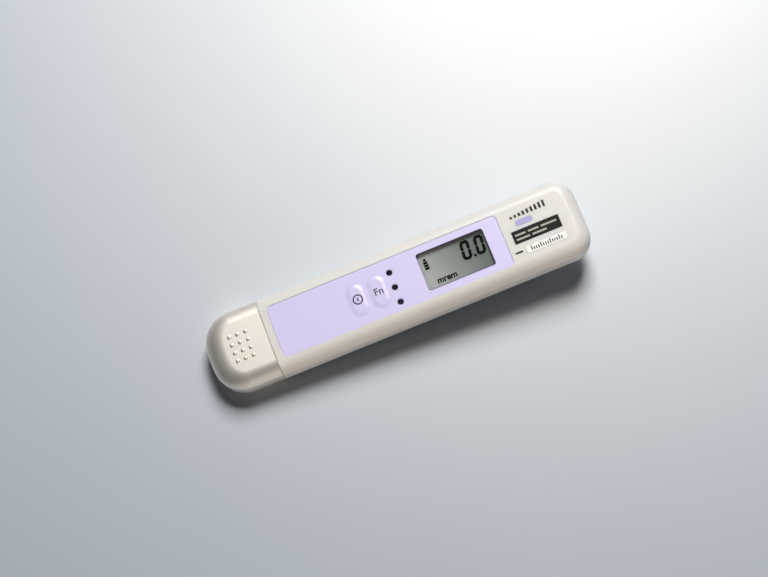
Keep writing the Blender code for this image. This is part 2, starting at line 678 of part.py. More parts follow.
def make_display():
    size = (DISPLAY_LENGTH + 2 * WINDOW_MARGIN, DISPLAY_WIDTH + 2 * WINDOW_MARGIN)
    window_top = RECESS_FLOOR
    window = plate("display_window", (DISPLAY_X, 0.0), size, (window_top - WINDOW_THICKNESS, window_top),
                   DISPLAY_CORNER_RADIUS + WINDOW_MARGIN)
    finish(window, clear)

    glass_top = min(UNDER_ROOF, window_top - WINDOW_THICKNESS - SEAT)
    glass_low = glass_top - GLASS_THICKNESS
    glass_length = DISPLAY_LENGTH + 2 * GLASS_MARGIN
    glass_width = DISPLAY_WIDTH + 2 * GLASS_MARGIN
    finish(plate("lcd_glass", (DISPLAY_X, 0.0), (glass_length, glass_width), (glass_low, glass_top)), lcd)

    frame_size = (glass_length + 2 * (FIT + LCD_FRAME_WALL), glass_width + 2 * (FIT + LCD_FRAME_WALL))
    frame = plate("lcd_frame", (DISPLAY_X, 0.0), frame_size, (ON_BOARD, UNDER_ROOF))
    cut(frame, plate("lcd_pocket", (DISPLAY_X, 0.0), (glass_length + 2 * FIT, glass_width + 2 * FIT),
                     (glass_low - SEAT, CASE_THICKNESS)))
    well = (glass_length - 2 * LCD_LEDGE, glass_width - 2 * LCD_LEDGE)
    cut(frame, plate("lcd_well", (DISPLAY_X, 0.0), well, (BOARD_HEIGHT, CASE_THICKNESS)))
    finish(frame, white)

    connector_y = well[1] / 2 - FIT - CONNECTOR_WIDTH / 2
    for name, y in (("upper", connector_y), ("lower", -connector_y)):
        strip = plate(f"lcd_connector_{name}", (DISPLAY_X, y),
                      (well[0] - 2 * CONNECTOR_END_GAP, CONNECTOR_WIDTH), (ON_BOARD, glass_low - SEAT))
        finish(strip, rubber)
    return DISPLAY_X + frame_size[0] / 2


def make_sounder():
    span = SOUND_PITCH * (SOUND_HOLES - 1) + SOUND_HOLE_DIAMETER + 2 * MESH_MARGIN
    width = SOUND_HOLE_DIAMETER + 2 * MESH_MARGIN
    mesh_low = UNDER_ROOF - MESH_THICKNESS
    finish(plate("sound_mesh", (SOUND_X, SOUND_OFFSET_Y), (width, span), (mesh_low, UNDER_ROOF)), black)
    place = (SOUND_X + BUZZER_FROM_SOUND, SOUND_OFFSET_Y)
    buzzer_top = mesh_low - SEAT
    buzzer = cylinder("buzzer", place, BUZZER_DIAMETER, (ON_BOARD, buzzer_top))
    cut(buzzer, cylinder("buzzer_port", place, BUZZER_PORT_DIAMETER,
                         (buzzer_top - BUZZER_PORT_DEPTH, buzzer_top + BUZZER_PORT_DEPTH), SMALL_SIDES))
    finish(buzzer, black)


def make_board(start_x):
    edge = WALL + BOARD_EDGE_GAP
    board = outline_solid("circuit_board", case_outline(edge, start_x), BOARD_HEIGHT, BOARD_TOP)
    for i, place in enumerate(screw_places):
        cut(board, cylinder(f"board_hole_{i}", place, PILOT_DIAMETER,
                            (BOARD_HEIGHT - BOARD_THICKNESS, BOARD_TOP + BOARD_THICKNESS), SMALL_SIDES))
    finish(board, board_green)


def make_detector(start_x):
    """A diode detector under a screening can at the far end of the board."""
    middle = (start_x + SHIELD_LENGTH / 2, 0.0)
    top = ON_BOARD + SHIELD_HEIGHT
    can = plate("detector_shield", middle, (SHIELD_LENGTH, SHIELD_WIDTH), (ON_BOARD, top))
    cut(can, plate("shield_hollow", middle, (SHIELD_LENGTH - 2 * SHIELD_WALL, SHIELD_WIDTH - 2 * SHIELD_WALL),
                   (BOARD_HEIGHT, top - SHIELD_WALL)))
    finish(can, tin)
    finish(plate("radiation_detector", middle, (DETECTOR_LENGTH, DETECTOR_WIDTH),
                 (ON_BOARD, ON_BOARD + DETECTOR_THICKNESS)), black)


def make_underside_components():
    """What the rear side of the board carries, hung by its solder just under it."""
    finish(plate("microcontroller", (DISPLAY_X, 0.0), (CONTROLLER_SIZE, CONTROLLER_SIZE),
                 (UNDER_BOARD - CONTROLLER_THICKNESS, UNDER_BOARD)), black)
    finish(plate("memory_chip", (DISPLAY_START_X, 0.0), (MEMORY_LENGTH, MEMORY_WIDTH),
                 (UNDER_BOARD - MEMORY_THICKNESS, UNDER_BOARD)), black)
    crystal = cylinder("crystal", (0.0, 0.0), CRYSTAL_DIAMETER, (-CRYSTAL_LENGTH / 2, CRYSTAL_LENGTH / 2),
                       SMALL_SIDES)
    lay_down = Matrix.Rotation(math.radians(90), 4, "X")
    across_flats = CRYSTAL_DIAMETER / 2 * math.cos(math.pi / SMALL_SIDES)
    place = Matrix.Translation((FUNCTION_KEY_X, 0.0, UNDER_BOARD - across_flats - SEAT))
    crystal.data.transform(place @ lay_down)
    finish(crystal, tin)
    for i in range(2):
        place = (SOUND_X + CAPACITOR_FROM_SOUND + (i - 0.5) * CAPACITOR_PITCH, 0.0)
        finish(plate(f"capacitor_{i + 1}", place, (CAPACITOR_WIDTH, CAPACITOR_LENGTH),
                     (UNDER_BOARD - CAPACITOR_THICKNESS, UNDER_BOARD)), tantalum)


def make_battery_cap():
    """A hollow end: its flat top meets the rounded side in a crease, and its lip carries the seal."""
    crown = CASE_THICKNESS + CAP_TOP_TRIM
    shell = outline_solid("battery_cap", cap_outline(0.0, CAP_STOP_X), 0.0, crown)
    round_rim(shell, crown, CAP_EDGE_RADIUS, spare_x=CAP_STOP_X)
    round_rim(shell, 0.0, REAR_EDGE_RADIUS, spare_x=CAP_STOP_X)
    half = CASE_WIDTH
    cut(shell, box("top_trim", (CAP_END_X - half, SEAM_X + half), (-half, half),
                   (CASE_THICKNESS, CASE_THICKNESS + half)))
    ball_radius = ((NUB_DIAMETER / 2) ** 2 + NUB_HEIGHT ** 2) / (2 * NUB_HEIGHT)
    bm = bmesh.new()
    for column in range(NUB_COLUMNS):
        for row in range(NUB_ROWS):
            x = CAP_END_X + NUB_FROM_END + (column - (NUB_COLUMNS - 1) / 2) * NUB_PITCH
            y = (row - (NUB_ROWS - 1) / 2) * NUB_PITCH
            place = Matrix.Translation((x, y, CASE_THICKNESS + NUB_HEIGHT - ball_radius))
            bmesh.ops.create_uvsphere(bm, u_segments=NUB_SIDES, v_segments=NUB_SIDES - 2,
                                      radius=ball_radius, matrix=place)
    join(shell, mesh_object("grip_nubs", bm))

    mouth_x = CAP_STOP_X + CAP_WALL
    hollow_roof = CASE_THICKNESS - CAP_WALL
    hollow = outline_solid("cap_hollow", cap_outline(CAP_WALL, mouth_x), CAP_WALL, hollow_roof)
    round_rim(hollow, hollow_roof, CAP_EDGE_RADIUS - CAP_WALL, spare_x=mouth_x)
    round_rim(hollow, CAP_WALL, REAR_EDGE_RADIUS - CAP_WALL, spare_x=mouth_x)
    cut(shell, hollow)

    lip_start = CAP_STOP_X - LIP_ROOT
    lip_end = CAP_STOP_X + LIP_REACH
    join(shell, outline_solid("cap_lip", mouth_section(FIT), lip_start, lip_end, "YZ"))
    cut(shell, outline_solid("lip_bore", mouth_section(FIT + LIP_WALL), lip_start - LIP_ROOT,
                             lip_end + LIP_ROOT, "YZ"))
    groove_start = CAP_STOP_X + SEAL_FROM_SEAM
    groove_end = groove_start + SEAL_WIDTH + 2 * SEAT
    groove = outline_solid("seal_groove", mouth_section(-WALL / 2), groove_start, groove_end, "YZ")
    cut(groove, outline_solid("groove_core", mouth_section(FIT + SEAL_GROOVE_DEPTH),
                              groove_start - LIP_ROOT, groove_end + LIP_ROOT, "YZ"))
    cut(shell, groove)

    finish(shell, silver, (SEAM_X, 0.0, CASE_THICKNESS / 2))

    ring = outline_solid("cap_seal", mouth_section(SEAT / 2), groove_start + SEAT,
                         groove_start + SEAT + SEAL_WIDTH, "YZ")
    cut(ring, outline_solid("seal_bore", mouth_section(FIT + SEAL_GROOVE_DEPTH - SEAT / 2),
                            groove_start - LIP_ROOT, groove_end + LIP_ROOT, "YZ"))
    finish(ring, rubber, (SEAM_X, 0.0, CASE_THICKNESS / 2))


def make_battery(bulkhead_start, bulkhead_end):
    """The tray reaches from its bulkhead in the case mouth into the cap and holds the cell."""
    inner = FIT + LIP_WALL + TRAY_FROM_LIP
    tray_low = WALL + inner
    tray_high = CAVITY_ROOF - inner
    floor = tray_low + TRAY_FLOOR
    pocket_radius = CELL_DIAMETER / 2 + CELL_GAP
    tray_end_x = CAP_END_X + CAP_WALL + TRAY_END_GAP
    cell_x = tray_end_x + TRAY_WALL + pocket_radius
    tray_start_x = (bulkhead_start + bulkhead_end) / 2
    outline = rounded_end(tray_start_x, tray_end_x, TRAY_HALF_WIDTH, pocket_radius)
    tray = outline_solid("battery_tray", outline, tray_low, tray_high)
    round_rim(tray, tray_high, TRAY_EDGE_RADIUS, spare_x=tray_start_x, steps=2)
    join(tray, outline_solid("tray_bulkhead", mouth_section(FIT), bulkhead_start, bulkhead_end, "YZ"))
    cut(tray, cylinder("cell_pocket", (cell_x, 0.0), 2 * pocket_radius, (floor, tray_high + TRAY_WALL),
                       2 * ROUND_SIDES))

    negative_low = floor + SEAT
    cell_low = negative_low + CONTACT_THICKNESS + SEAT
    cell_high = cell_low + CELL_THICKNESS
    positive_low = cell_high + SEAT
    positive_high = positive_low + CONTACT_THICKNESS
    slot_half = CONTACT_WIDTH / 2 + SEAT
    slot_x = (cell_x, bulkhead_end + BULKHEAD_THICKNESS)
    upper_y = (CONTACT_SIDE - slot_half, CONTACT_SIDE + slot_half)
    lower_y = (-CONTACT_SIDE - slot_half, -CONTACT_SIDE + slot_half)
    cut(tray, box("positive_slot", slot_x, upper_y, (positive_low - SEAT, positive_high + SEAT)))
    cut(tray, box("positive_channel", (cell_x, bulkhead_start), upper_y,
                  (positive_low - SEAT, CASE_THICKNESS)))
    cut(tray, box("negative_slot", slot_x, lower_y, (floor, cell_low)))
    finish(tray, black)

    cell = cylinder("battery_cell", (cell_x, 0.0), CELL_DIAMETER, (cell_low, cell_high), 2 * ROUND_SIDES)
    finish(cell, steel)

    foot_x = bulkhead_end + CONTACT_BEND * 2 + CONTACT_THICKNESS
    middle = CONTACT_THICKNESS / 2
    path = filleted([
        (cell_x + CELL_DIAMETER / 2 - CONTACT_REACH, positive_low + middle),
        (foot_x, positive_low + middle),
        (foot_x, ON_BOARD + middle),
        (foot_x + CONTACT_FOOT, ON_BOARD + middle),
    ], CONTACT_BEND)
    finish(outline_solid("positive_contact", strip_outline(path, CONTACT_THICKNESS),
                         CONTACT_SIDE - CONTACT_WIDTH / 2, CONTACT_SIDE + CONTACT_WIDTH / 2, "XZ"), tin)

    rise = UNDER_BOARD - CONTACT_THICKNESS - negative_low
    path = filleted([
        (cell_x + CELL_DIAMETER / 2 - CONTACT_REACH, negative_low + middle),
        (bulkhead_end + FIT + CONTACT_BEND, negative_low + middle),
        (bulkhead_end + FIT + 2 * CONTACT_BEND, negative_low + rise + middle),
        (foot_x + CONTACT_FOOT, negative_low + rise + middle),
    ], CONTACT_BEND / 4)
    finish(outline_solid("negative_contact", strip_outline(path, CONTACT_THICKNESS),
                         -CONTACT_SIDE - CONTACT_WIDTH / 2, -CONTACT_SIDE + CONTACT_WIDTH / 2, "XZ"), tin)


def make_screws(name, places, head_height, head_seat, tip_height):
    """Pan head screws driven upwards, each a copy of one turned mesh with a slot across its head."""
    head_radius = SCREW_HEAD_DIAMETER / 2
    shank = SCREW_DIAMETER / 2
    edge = SCREW_HEAD_HEIGHT / 4
    head_low = head_seat - head_height
    profile = [
        (0.0, tip_height), (shank / 2, tip_height), (shank, tip_height - shank),
        (shank, head_seat), (head_radius, head_seat), (head_radius, head_low + edge),
        (head_radius - edge, head_low), (0.0, head_low),
    ]
    slot = box(f"{name}_slot", (-head_radius * 2, head_radius * 2),
               (-SCREW_SLOT_WIDTH / 2, SCREW_SLOT_WIDTH / 2),
               (head_low - head_height, head_low + head_height / 2))
    for i, place in enumerate(places):
        screw = turned(f"{name}_{i + 1}", profile, SCREW_SIDES)
        tool = slot if i == 0 else bpy.data.objects.new(f"{name}_slot_{i}", slot.data)
        if i:
            parts.objects.link(tool)
        tool.location = (*place, 0.0)
        cut(screw, tool)
        finish(screw, steel)
        screw.location = (*place, 0.0)


def make_pocket_clip():
    """One strip of spring steel: a root screwed to the case, a step out, a straight leg and a sprung nose."""
    middle = CLIP_THICKNESS / 2
    root_z = -SEAT - middle
    leg_z = -CLIP_GAP - middle
    step_x = clip_root_x - CLIP_ROOT_LENGTH
    leg_x = step_x - CLIP_STEP_LENGTH
    nose_x = leg_x - CLIP_LEG_LENGTH
    touch_x = nose_x - CLIP_NOSE_LENGTH
    tip_x = touch_x - CLIP_TIP_LENGTH
    touch_z = -FIT - CLIP_THICKNESS
    path = filleted([
        (clip_root_x, root_z), (step_x, root_z), (leg_x, leg_z), (nose_x, leg_z),
        (touch_x, touch_z), (tip_x, touch_z - CLIP_TIP_RISE),
    ], CLIP_BEND_RADIUS)
    strip = outline_solid("pocket_clip", strip_outline(path, CLIP_THICKNESS),
                          -CLIP_WIDTH / 2, CLIP_WIDTH / 2, "XZ")
    plan = rounded_rectangle(tip_x, clip_root_x, -CLIP_WIDTH / 2, CLIP_WIDTH / 2, CLIP_CORNER_RADIUS)
    blank = outline_solid("clip_blank", plan, -2 * CLIP_STANDOFF, CLIP_STANDOFF)
    combine(strip, blank, "INTERSECT")
    for i, place in enumerate(clip_screw_places):
        cut(strip, cylinder(f"clip_hole_{i}", place, PILOT_DIAMETER, (-CLIP_STANDOFF, WALL), SMALL_SIDES))
    finish(strip, steel)


def make_dosimeter():
    key_holes = [key_hole(f"{name}_key_hole", place) for name, place in key_places.items()]
    sound_holes = sound_hole_cutter("sound_holes")
    make_front_case(key_holes, sound_holes)
    make_rear_case()
    make_front_panel(key_holes, sound_holes)
    for name, place in key_places.items():
        make_key(f"{name}_key", place)
        make_switch(name, place)
    frame_end = make_display()
    make_sounder()
    bulkhead_start = CAP_STOP_X + LIP_REACH + SEAM_GAP
    bulkhead_end = bulkhead_start + BULKHEAD_THICKNESS
    make_board(bulkhead_end + BOARD_EDGE_GAP)
    make_detector(frame_end + SHIELD_FROM_FRAME)
    make_underside_components()
    make_battery_cap()
    make_battery(bulkhead_start, bulkhead_end)
    make_screws("case_screw", screw_places, SCREW_HEAD_HEIGHT,
                SCREW_HEAD_SINK + SCREW_HEAD_HEIGHT, ON_BOARD + SCREW_BITE)
    clip_head_seat = -SEAT - CLIP_THICKNESS - SEAT
    make_screws("clip_screw", clip_screw_places, SCREW_HEAD_HEIGHT,
                clip_head_seat, clip_head_seat + CLIP_SCREW_LENGTH)
    make_pocket_clip()


make_dosimeter()
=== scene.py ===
import math

import bmesh
import bpy
from mathutils import Matrix, Vector


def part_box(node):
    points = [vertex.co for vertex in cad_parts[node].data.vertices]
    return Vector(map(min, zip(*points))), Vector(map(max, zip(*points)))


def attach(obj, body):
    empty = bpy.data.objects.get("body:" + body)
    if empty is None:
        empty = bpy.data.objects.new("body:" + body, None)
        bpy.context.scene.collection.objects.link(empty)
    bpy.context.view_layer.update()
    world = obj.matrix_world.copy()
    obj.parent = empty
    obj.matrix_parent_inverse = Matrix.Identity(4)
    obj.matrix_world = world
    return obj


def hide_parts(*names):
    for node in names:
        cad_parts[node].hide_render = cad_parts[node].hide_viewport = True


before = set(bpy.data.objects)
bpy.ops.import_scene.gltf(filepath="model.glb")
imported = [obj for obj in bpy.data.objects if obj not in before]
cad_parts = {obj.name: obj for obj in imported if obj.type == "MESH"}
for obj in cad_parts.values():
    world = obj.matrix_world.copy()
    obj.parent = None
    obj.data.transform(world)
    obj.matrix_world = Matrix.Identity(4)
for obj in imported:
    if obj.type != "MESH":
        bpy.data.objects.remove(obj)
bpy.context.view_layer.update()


# The studio: a sheet of pale satin card, a large softbox hung behind the instrument, and three weak cards
# on its near side. The instrument leans on its clip and its cap, so the sheet is laid to touch both.

MM = 0.001


def srgb(code):
    """A colour written as six hex digits, as the linear values that a shader takes."""
    channels = [int(code[i:i + 2], 16) / 255 for i in (0, 2, 4)]
    linear = [c / 12.92 if c <= 0.04045 else ((c + 0.055) / 1.055) ** 2.4 for c in channels]
    return (*linear, 1.0)


def add_node(tree, kind, sockets, **settings):
    """Adds one shader node. A socket, by name or number, takes a plain value or another node's output."""
    made = tree.nodes.new("ShaderNode" + kind)
    for name, value in settings.items():
        setattr(made, name, value)
    for name, value in sockets.items():
        if isinstance(value, bpy.types.NodeSocket):
            tree.links.new(value, made.inputs[name])
        else:
            made.inputs[name].default_value = value
    return made


def new_finish(name, **sockets):
    """A material, its node tree, its surface shader and the object's own coordinates."""
    made = bpy.data.materials.new(name)
    made.use_nodes = True
    tree = made.node_tree
    surface = tree.nodes["Principled BSDF"]
    for socket, value in sockets.items():
        surface.inputs[socket.replace("_", " ")].default_value = value
    place = add_node(tree, "TexCoord", {}).outputs["Object"]
    return made, tree, surface, place


def mottle(tree, place, size, low, high, detail=3.0):
    """A soft blotched field between two colours, with blotches of one real size in metres."""
    noise = add_node(tree, "TexNoise", {"Vector": place, "Scale": 1 / size, "Detail": detail})
    mix = add_node(tree, "Mix", {"Factor": noise.outputs["Fac"], "A": srgb(low), "B": srgb(high)},
                   data_type="RGBA")
    return mix.outputs["Result"]


def to_mesh(bm):
    """A finished bmesh as a new mesh."""
    mesh = bpy.data.meshes.new("mesh")
    bm.to_mesh(mesh)
    bm.free()
    return mesh


def placed(name, data):
    """A new object in the scene."""
    thing = bpy.data.objects.new(name, data)
    bpy.context.scene.collection.objects.link(thing)
    return thing


CAMERA_LENS = 82.11
CAMERA_SENSOR = 36.0
AIM = Vector((-0.00397, 0.00162, 0.0112))


def aimed(name, data, bearing, zenith, distance, roll=0.0):
    """A camera or a lamp that looks at the instrument. Its bearing is in degrees from the near side toward
    the far end, its zenith in degrees from straight above, and its roll turns it about its own axis."""
    thing = placed(name, data)
    thing.matrix_world = Matrix.Translation(AIM)
    for angle, axis in ((bearing, "Z"), (zenith, "X"), (roll, "Z")):
        thing.matrix_world @= Matrix.Rotation(math.radians(angle), 4, axis)
    thing.matrix_world @= Matrix.Translation((0, 0, distance))
    return thing


lens = bpy.data.cameras.new("camera")
lens.lens = CAMERA_LENS
lens.sensor_width = CAMERA_SENSOR
lens.clip_start = 10 * MM
bpy.context.scene.camera = aimed("camera", lens, bearing=4.99, zenith=15.59, distance=0.63666, roll=-26.90)
bpy.context.scene.view_settings.view_transform = "Standard"


def softbox(name, bearing, zenith, distance, width, depth, power, shade):
    """A soft lamp that faces the instrument."""
    light = bpy.data.lights.new(name, "AREA")
    light.shape = "RECTANGLE"
    light.size = width
    light.size_y = depth
    light.energy = power
    light.color = srgb(shade)[:3]
    lamp = aimed(name, light, bearing, zenith, distance)
    lamp.visible_camera = False
    return lamp


# The cap's card lights the cap alone, and the fill skips the cap and the floor: both are told so once
# the cap is made. The fill isn't mirrored in anything.
softbox("key_softbox", bearing=147, zenith=41, distance=0.9, width=0.38, depth=0.4, power=8.55,
        shade="FEFFFF")
softbox("front_card", bearing=-12, zenith=80, distance=0.4, width=0.6, depth=0.14, power=0.22, shade="FFF6EA")
cap_card = softbox("cap_card", bearing=20, zenith=66, distance=0.4, width=0.3, depth=0.14, power=0.22,
                   shade="FFF3E4")
fill_card = softbox("fill_card", bearing=-25, zenith=38, distance=0.6, width=0.7, depth=0.5, power=1.88,
                    shade="FFECD6")
fill_card.visible_glossy = False

# The studio's air is dim, so that shadows stay deep; seen straight on, it is a pale wall.
world = bpy.data.worlds.new("studio_air")
world.use_nodes = True
tree = world.node_tree
dim = tree.nodes["Background"]
dim.inputs["Color"].default_value = srgb("AEB6CC")
dim.inputs["Strength"].default_value = 0.05
wall = add_node(tree, "Background", {"Color": srgb("C9CCD4"), "Strength": 0.9})
rays = add_node(tree, "LightPath", {})
seen = add_node(tree, "MixShader", {"Fac": rays.outputs["Is Camera Ray"], 1: dim.outputs["Background"],
                                    2: wall.outputs["Background"]})
tree.links.new(seen.outputs["Shader"], tree.nodes["World Output"].inputs["Surface"])
bpy.context.scene.world = world

FLOOR_SIZE = 0.76
FLOOR_GAP = 0.05 * MM

# The floor touches the heel of the clip and the round lower rim of the cap.
REAR_EDGE_RADIUS = 3.0 * MM
CLIP_HEEL_X = 25.0 * MM
clip_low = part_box("pocket_clip")[0]
cap_low, cap_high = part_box("battery_cap")
rim_centre = Vector((cap_low.x + REAR_EDGE_RADIUS, 0.0, cap_low.z + REAR_EDGE_RADIUS))
heel = Vector((CLIP_HEEL_X, 0.0, clip_low.z))
heel_to_rim = heel - rim_centre
floor_tilt = math.asin(-heel_to_rim.z / heel_to_rim.length) - math.asin(REAR_EDGE_RADIUS / heel_to_rim.length)

# Satin card: a pale blue-grey coated sheet, whose broad sheen brightens it toward the lamp.
card, tree, surface, place = new_finish("satin_coated_card")
tree.nodes.remove(surface)
pulp = add_node(tree, "BsdfDiffuse", {"Color": mottle(tree, place, 60 * MM, "CFD6E0", "D2D9E3")})
sheen = add_node(tree, "BsdfAnisotropic", {"Color": srgb("FFF3DC"), "Roughness": 0.46},
                 distribution="BECKMANN")
coat = add_node(tree, "MixShader", {"Fac": 0.09, 1: pulp.outputs["BSDF"], 2: sheen.outputs["BSDF"]})
tree.links.new(coat.outputs["Shader"], tree.nodes["Material Output"].inputs["Surface"])

bm = bmesh.new()
bmesh.ops.create_grid(bm, x_segments=1, y_segments=1, size=FLOOR_SIZE / 2)
lay = Matrix.Translation(heel - Vector((0, 0, FLOOR_GAP))) @ Matrix.Rotation(floor_tilt, 4, "Y")
bmesh.ops.transform(bm, matrix=lay, verts=bm.verts)
floor = placed("card_floor", to_mesh(bm))
floor.data.materials.append(card)


# Rear case: the lower half of the ivory ABS moulding, 1.5 mm thick, with a tongue along its parting edge.
# It carries the screw bosses and stiffening ribs, and its outer face has the fine grain of the mould.

CASE_WALL = 1.5 * MM
FAR_CORNER_RADIUS = 8.0 * MM
FRONT_EDGE_RADIUS = 5.0 * MM
CAVITY_FLOOR_RADIUS = 2.0 * MM
CAVITY_ROOF_RADIUS = 3.4 * MM
ROOF = 2.0 * MM
FIT = 0.15 * MM
SEAT = 0.1 * MM
TONGUE_WALL = 0.6 * MM
TONGUE_HEIGHT = 0.8 * MM
TONGUE_FROM_SEAM = 2.0 * MM
BOSS_WALL = 1.3 * MM
PILOT_DIAMETER = 2.3 * MM
HEAD_RECESS_DEPTH = 1.6 * MM
RIB_THICKNESS = 0.8 * MM
RIB_HEIGHT = 1.3 * MM
CLIP_PILOT_DEPTH = 2.8 * MM
EDGE_BREAK = 0.12 * MM
EDGE_BREAK_ANGLE = math.radians(30)
CORNER_SEGMENTS = 24
EDGE_SEGMENTS = 16
PIN_SEGMENTS = 48
SAME_PLACE = 0.01 * MM

rear_low, rear_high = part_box("rear_case")
front_low, front_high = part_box("front_case")
board_low, board_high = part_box("circuit_board")
parting = rear_high.z - TONGUE_HEIGHT
under_board = board_low.z - SEAT
on_board = board_high.z + SEAT


def middle_of(node):
    """The middle of a node's box."""
    low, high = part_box(node)
    return (low + high) / 2


case_screws = [f"case_screw_{i}" for i in range(1, 5)]
clip_screws = [f"clip_screw_{i}" for i in range(1, 3)]
screw_places = [middle_of(screw) for screw in case_screws]
clip_screw_places = [middle_of(screw) for screw in clip_screws]
head_low, head_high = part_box("case_screw_1")
head_diameter = head_high.x - head_low.x


def merge(bm, reach=0.0001 * MM):
    """Joins the vertices that lie on each other."""
    bmesh.ops.remove_doubles(bm, verts=bm.verts, dist=reach)


def cleaned(mesh, reach=0.0001 * MM, flat=0.2):
    """A mesh with its doubles merged, and its faces that turn by less than flat degrees made one."""
    bm = bmesh.new()
    bm.from_mesh(mesh)
    merge(bm, reach)
    if flat:
        bmesh.ops.dissolve_limit(bm, angle_limit=math.radians(flat), verts=bm.verts, edges=bm.edges,
                                 delimit={"MATERIAL"})
    bm.to_mesh(mesh)
    bm.free()
    return mesh


def block(low, high):
    """A bmesh block between two corners."""
    low = Vector(low)
    high = Vector(high)
    bm = bmesh.new()
    bmesh.ops.create_cube(bm, size=1.0)
    size = Matrix.Diagonal((*(high - low), 1.0))
    bmesh.ops.transform(bm, matrix=Matrix.Translation((low + high) / 2) @ size, verts=bm.verts)
    return bm


def round_edges(bm, chosen, radius, segments):
    """Rounds, or with one segment cuts, the edges whose two ends a test has chosen."""
    edges = [edge for edge in bm.edges if chosen(*edge.verts)]
    bmesh.ops.bevel(bm, geom=edges, offset=radius, offset_type="OFFSET", segments=segments, profile=0.5,
                    affect="EDGES", material=-1)


def round_rim(bm, level, radius, *open_ends):
    """Rounds a shape's rim at one height, apart from the edges across its open ends."""
    def on_rim(a, b):
        flat = max(abs(a.co.z - level), abs(b.co.z - level)) < SAME_PLACE
        across = any(max(abs(a.co.x - end), abs(b.co.x - end)) < SAME_PLACE for end in open_ends)
        return flat and not across

    round_edges(bm, on_rim, radius, EDGE_SEGMENTS)


def case_block(start_x, inset, low, high, rim=None, rim_radius=0.0):
    """The case's bar shape, drawn in by inset, with round corners at the far end and a rim rounded at one
    height."""
    end_x = rear_high.x - inset
    half = rear_high.y - inset
    bm = block((start_x, -half, low), (end_x, half, high))

    def far_corner(a, b):
        return min(a.co.x, b.co.x) > end_x - SAME_PLACE and abs(a.co.y - b.co.y) < SAME_PLACE

    round_edges(bm, far_corner, FAR_CORNER_RADIUS - inset, CORNER_SEGMENTS)
    if rim is not None:
        round_rim(bm, rim, rim_radius, start_x)
    return bm


def pin(centre, diameter, low, high):
    """An upright round bar."""
    bm = bmesh.new()
    place = Matrix.Translation((centre[0], centre[1], (low + high) / 2))
    bmesh.ops.create_cone(bm, cap_ends=True, segments=PIN_SEGMENTS, radius1=diameter / 2,
                          radius2=diameter / 2, depth=high - low, matrix=place)
    return bm


def together(*tools):
    """Several shapes that don't touch, as one mesh."""
    whole = bmesh.new()
    for bm in tools:
        mesh = to_mesh(bm)
        whole.from_mesh(mesh)
        bpy.data.meshes.remove(mesh)
    return whole


def worked(thing):
    """The mesh that an object's modifiers, or its text, come to. The object is used up."""
    bpy.context.view_layer.update()
    mesh = bpy.data.meshes.new_from_object(thing.evaluated_get(bpy.context.evaluated_depsgraph_get()))
    bpy.data.objects.remove(thing)
    return mesh


def put_in_order(mesh):
    """A mesh whose parts are sorted by place, because a cut leaves them in another order at each run."""
    bm = bmesh.new()
    bm.from_mesh(mesh)
    for parts in (bm.verts, bm.edges, bm.faces):
        corners = {part: sorted(vert.co[:] for vert in getattr(part, "verts", [part])) for part in parts}
        rank = {part: i for i, part in enumerate(sorted(parts, key=corners.get))}
        parts.sort(key=rank.get)
    bm.to_mesh(mesh)
    bm.free()
    return mesh


def carve(mesh, bm, operation="DIFFERENCE"):
    """The mesh with a shape cut from it, or joined to it."""
    solid = placed("solid", mesh)
    tool = placed("tool", to_mesh(bm))
    change = solid.modifiers.new("carve", "BOOLEAN")
    change.operation = operation
    change.solver = "EXACT"
    change.object = tool
    result = put_in_order(worked(solid))
    bpy.data.meshes.remove(mesh)
    bpy.data.meshes.remove(tool.data)
    return result


def bored(mesh, spots, diameter, low, high):
    """The mesh with a round hole bored at each spot."""
    return carve(mesh, together(*[pin(spot, diameter, low, high) for spot in spots]))


def dress(mesh, edge=EDGE_BREAK):
    """Breaks a piece's sharp edges and shades its flats flat and its rounds smooth."""
    cleaned(mesh).shade_smooth()
    piece = placed("piece", mesh)
    if edge:
        bevel = piece.modifiers.new("edge", "BEVEL")
        bevel.width = edge
        bevel.segments = 2
        bevel.limit_method = "ANGLE"
        bevel.angle_limit = EDGE_BREAK_ANGLE
        bevel.use_clamp_overlap = True
        bevel.miter_outer = "MITER_ARC"
    level = piece.modifiers.new("flats", "WEIGHTED_NORMAL")
    level.keep_sharp = True
    result = worked(piece)
    bpy.data.meshes.remove(mesh)
    return result


def made_piece(name, mesh, finishes, body, replaced=()):
    """Puts a finished mesh in the scene as a piece that rides on a body."""
    mesh.name = name
    piece = placed(name, mesh)
    for finish in finishes:
        mesh.materials.append(finish)
    if replaced:
        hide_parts(*replaced)
    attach(piece, body)
    return piece


def grain(tree, surface, place, size, depth):
    """A fine relief over a surface, with bumps of one real size and depth in metres."""
    noise = add_node(tree, "TexNoise", {"Vector": place, "Scale": 1 / size, "Detail": 2.0})
    bump = add_node(tree, "Bump", {"Height": noise.outputs["Fac"], "Distance": depth})
    tree.links.new(bump.outputs["Normal"], surface.inputs["Normal"])


def mottled_finish(name, blotch, low, high, bump=0.0, depth=0.0, detail=3.0, **sockets):
    """A finish with a soft mottle of two colours and, where it has a bump size, a fine relief. Sizes are in
    millimetres."""
    made, tree, surface, place = new_finish(name, **sockets)
    tree.links.new(mottle(tree, place, blotch * MM, low, high, detail), surface.inputs["Base Color"])
    if bump:
        grain(tree, surface, place, bump * MM, depth * MM)
    return made


# Moulded ABS: satin from a spark-eroded mould, slightly warm and a little translucent, so that its shaded
# side stays soft. The mould's grain, really about 0.05 mm, is drawn coarser so that it shows.
ivory = mottled_finish("moulded_ivory_abs", 9, "DBD9D5", "DFDDDA", 0.18, 0.006, Roughness=0.36, IOR=1.53,
                       Subsurface_Weight=1.0, Subsurface_Scale=2.0 * MM, Subsurface_Radius=(1.0, 0.8, 0.62))

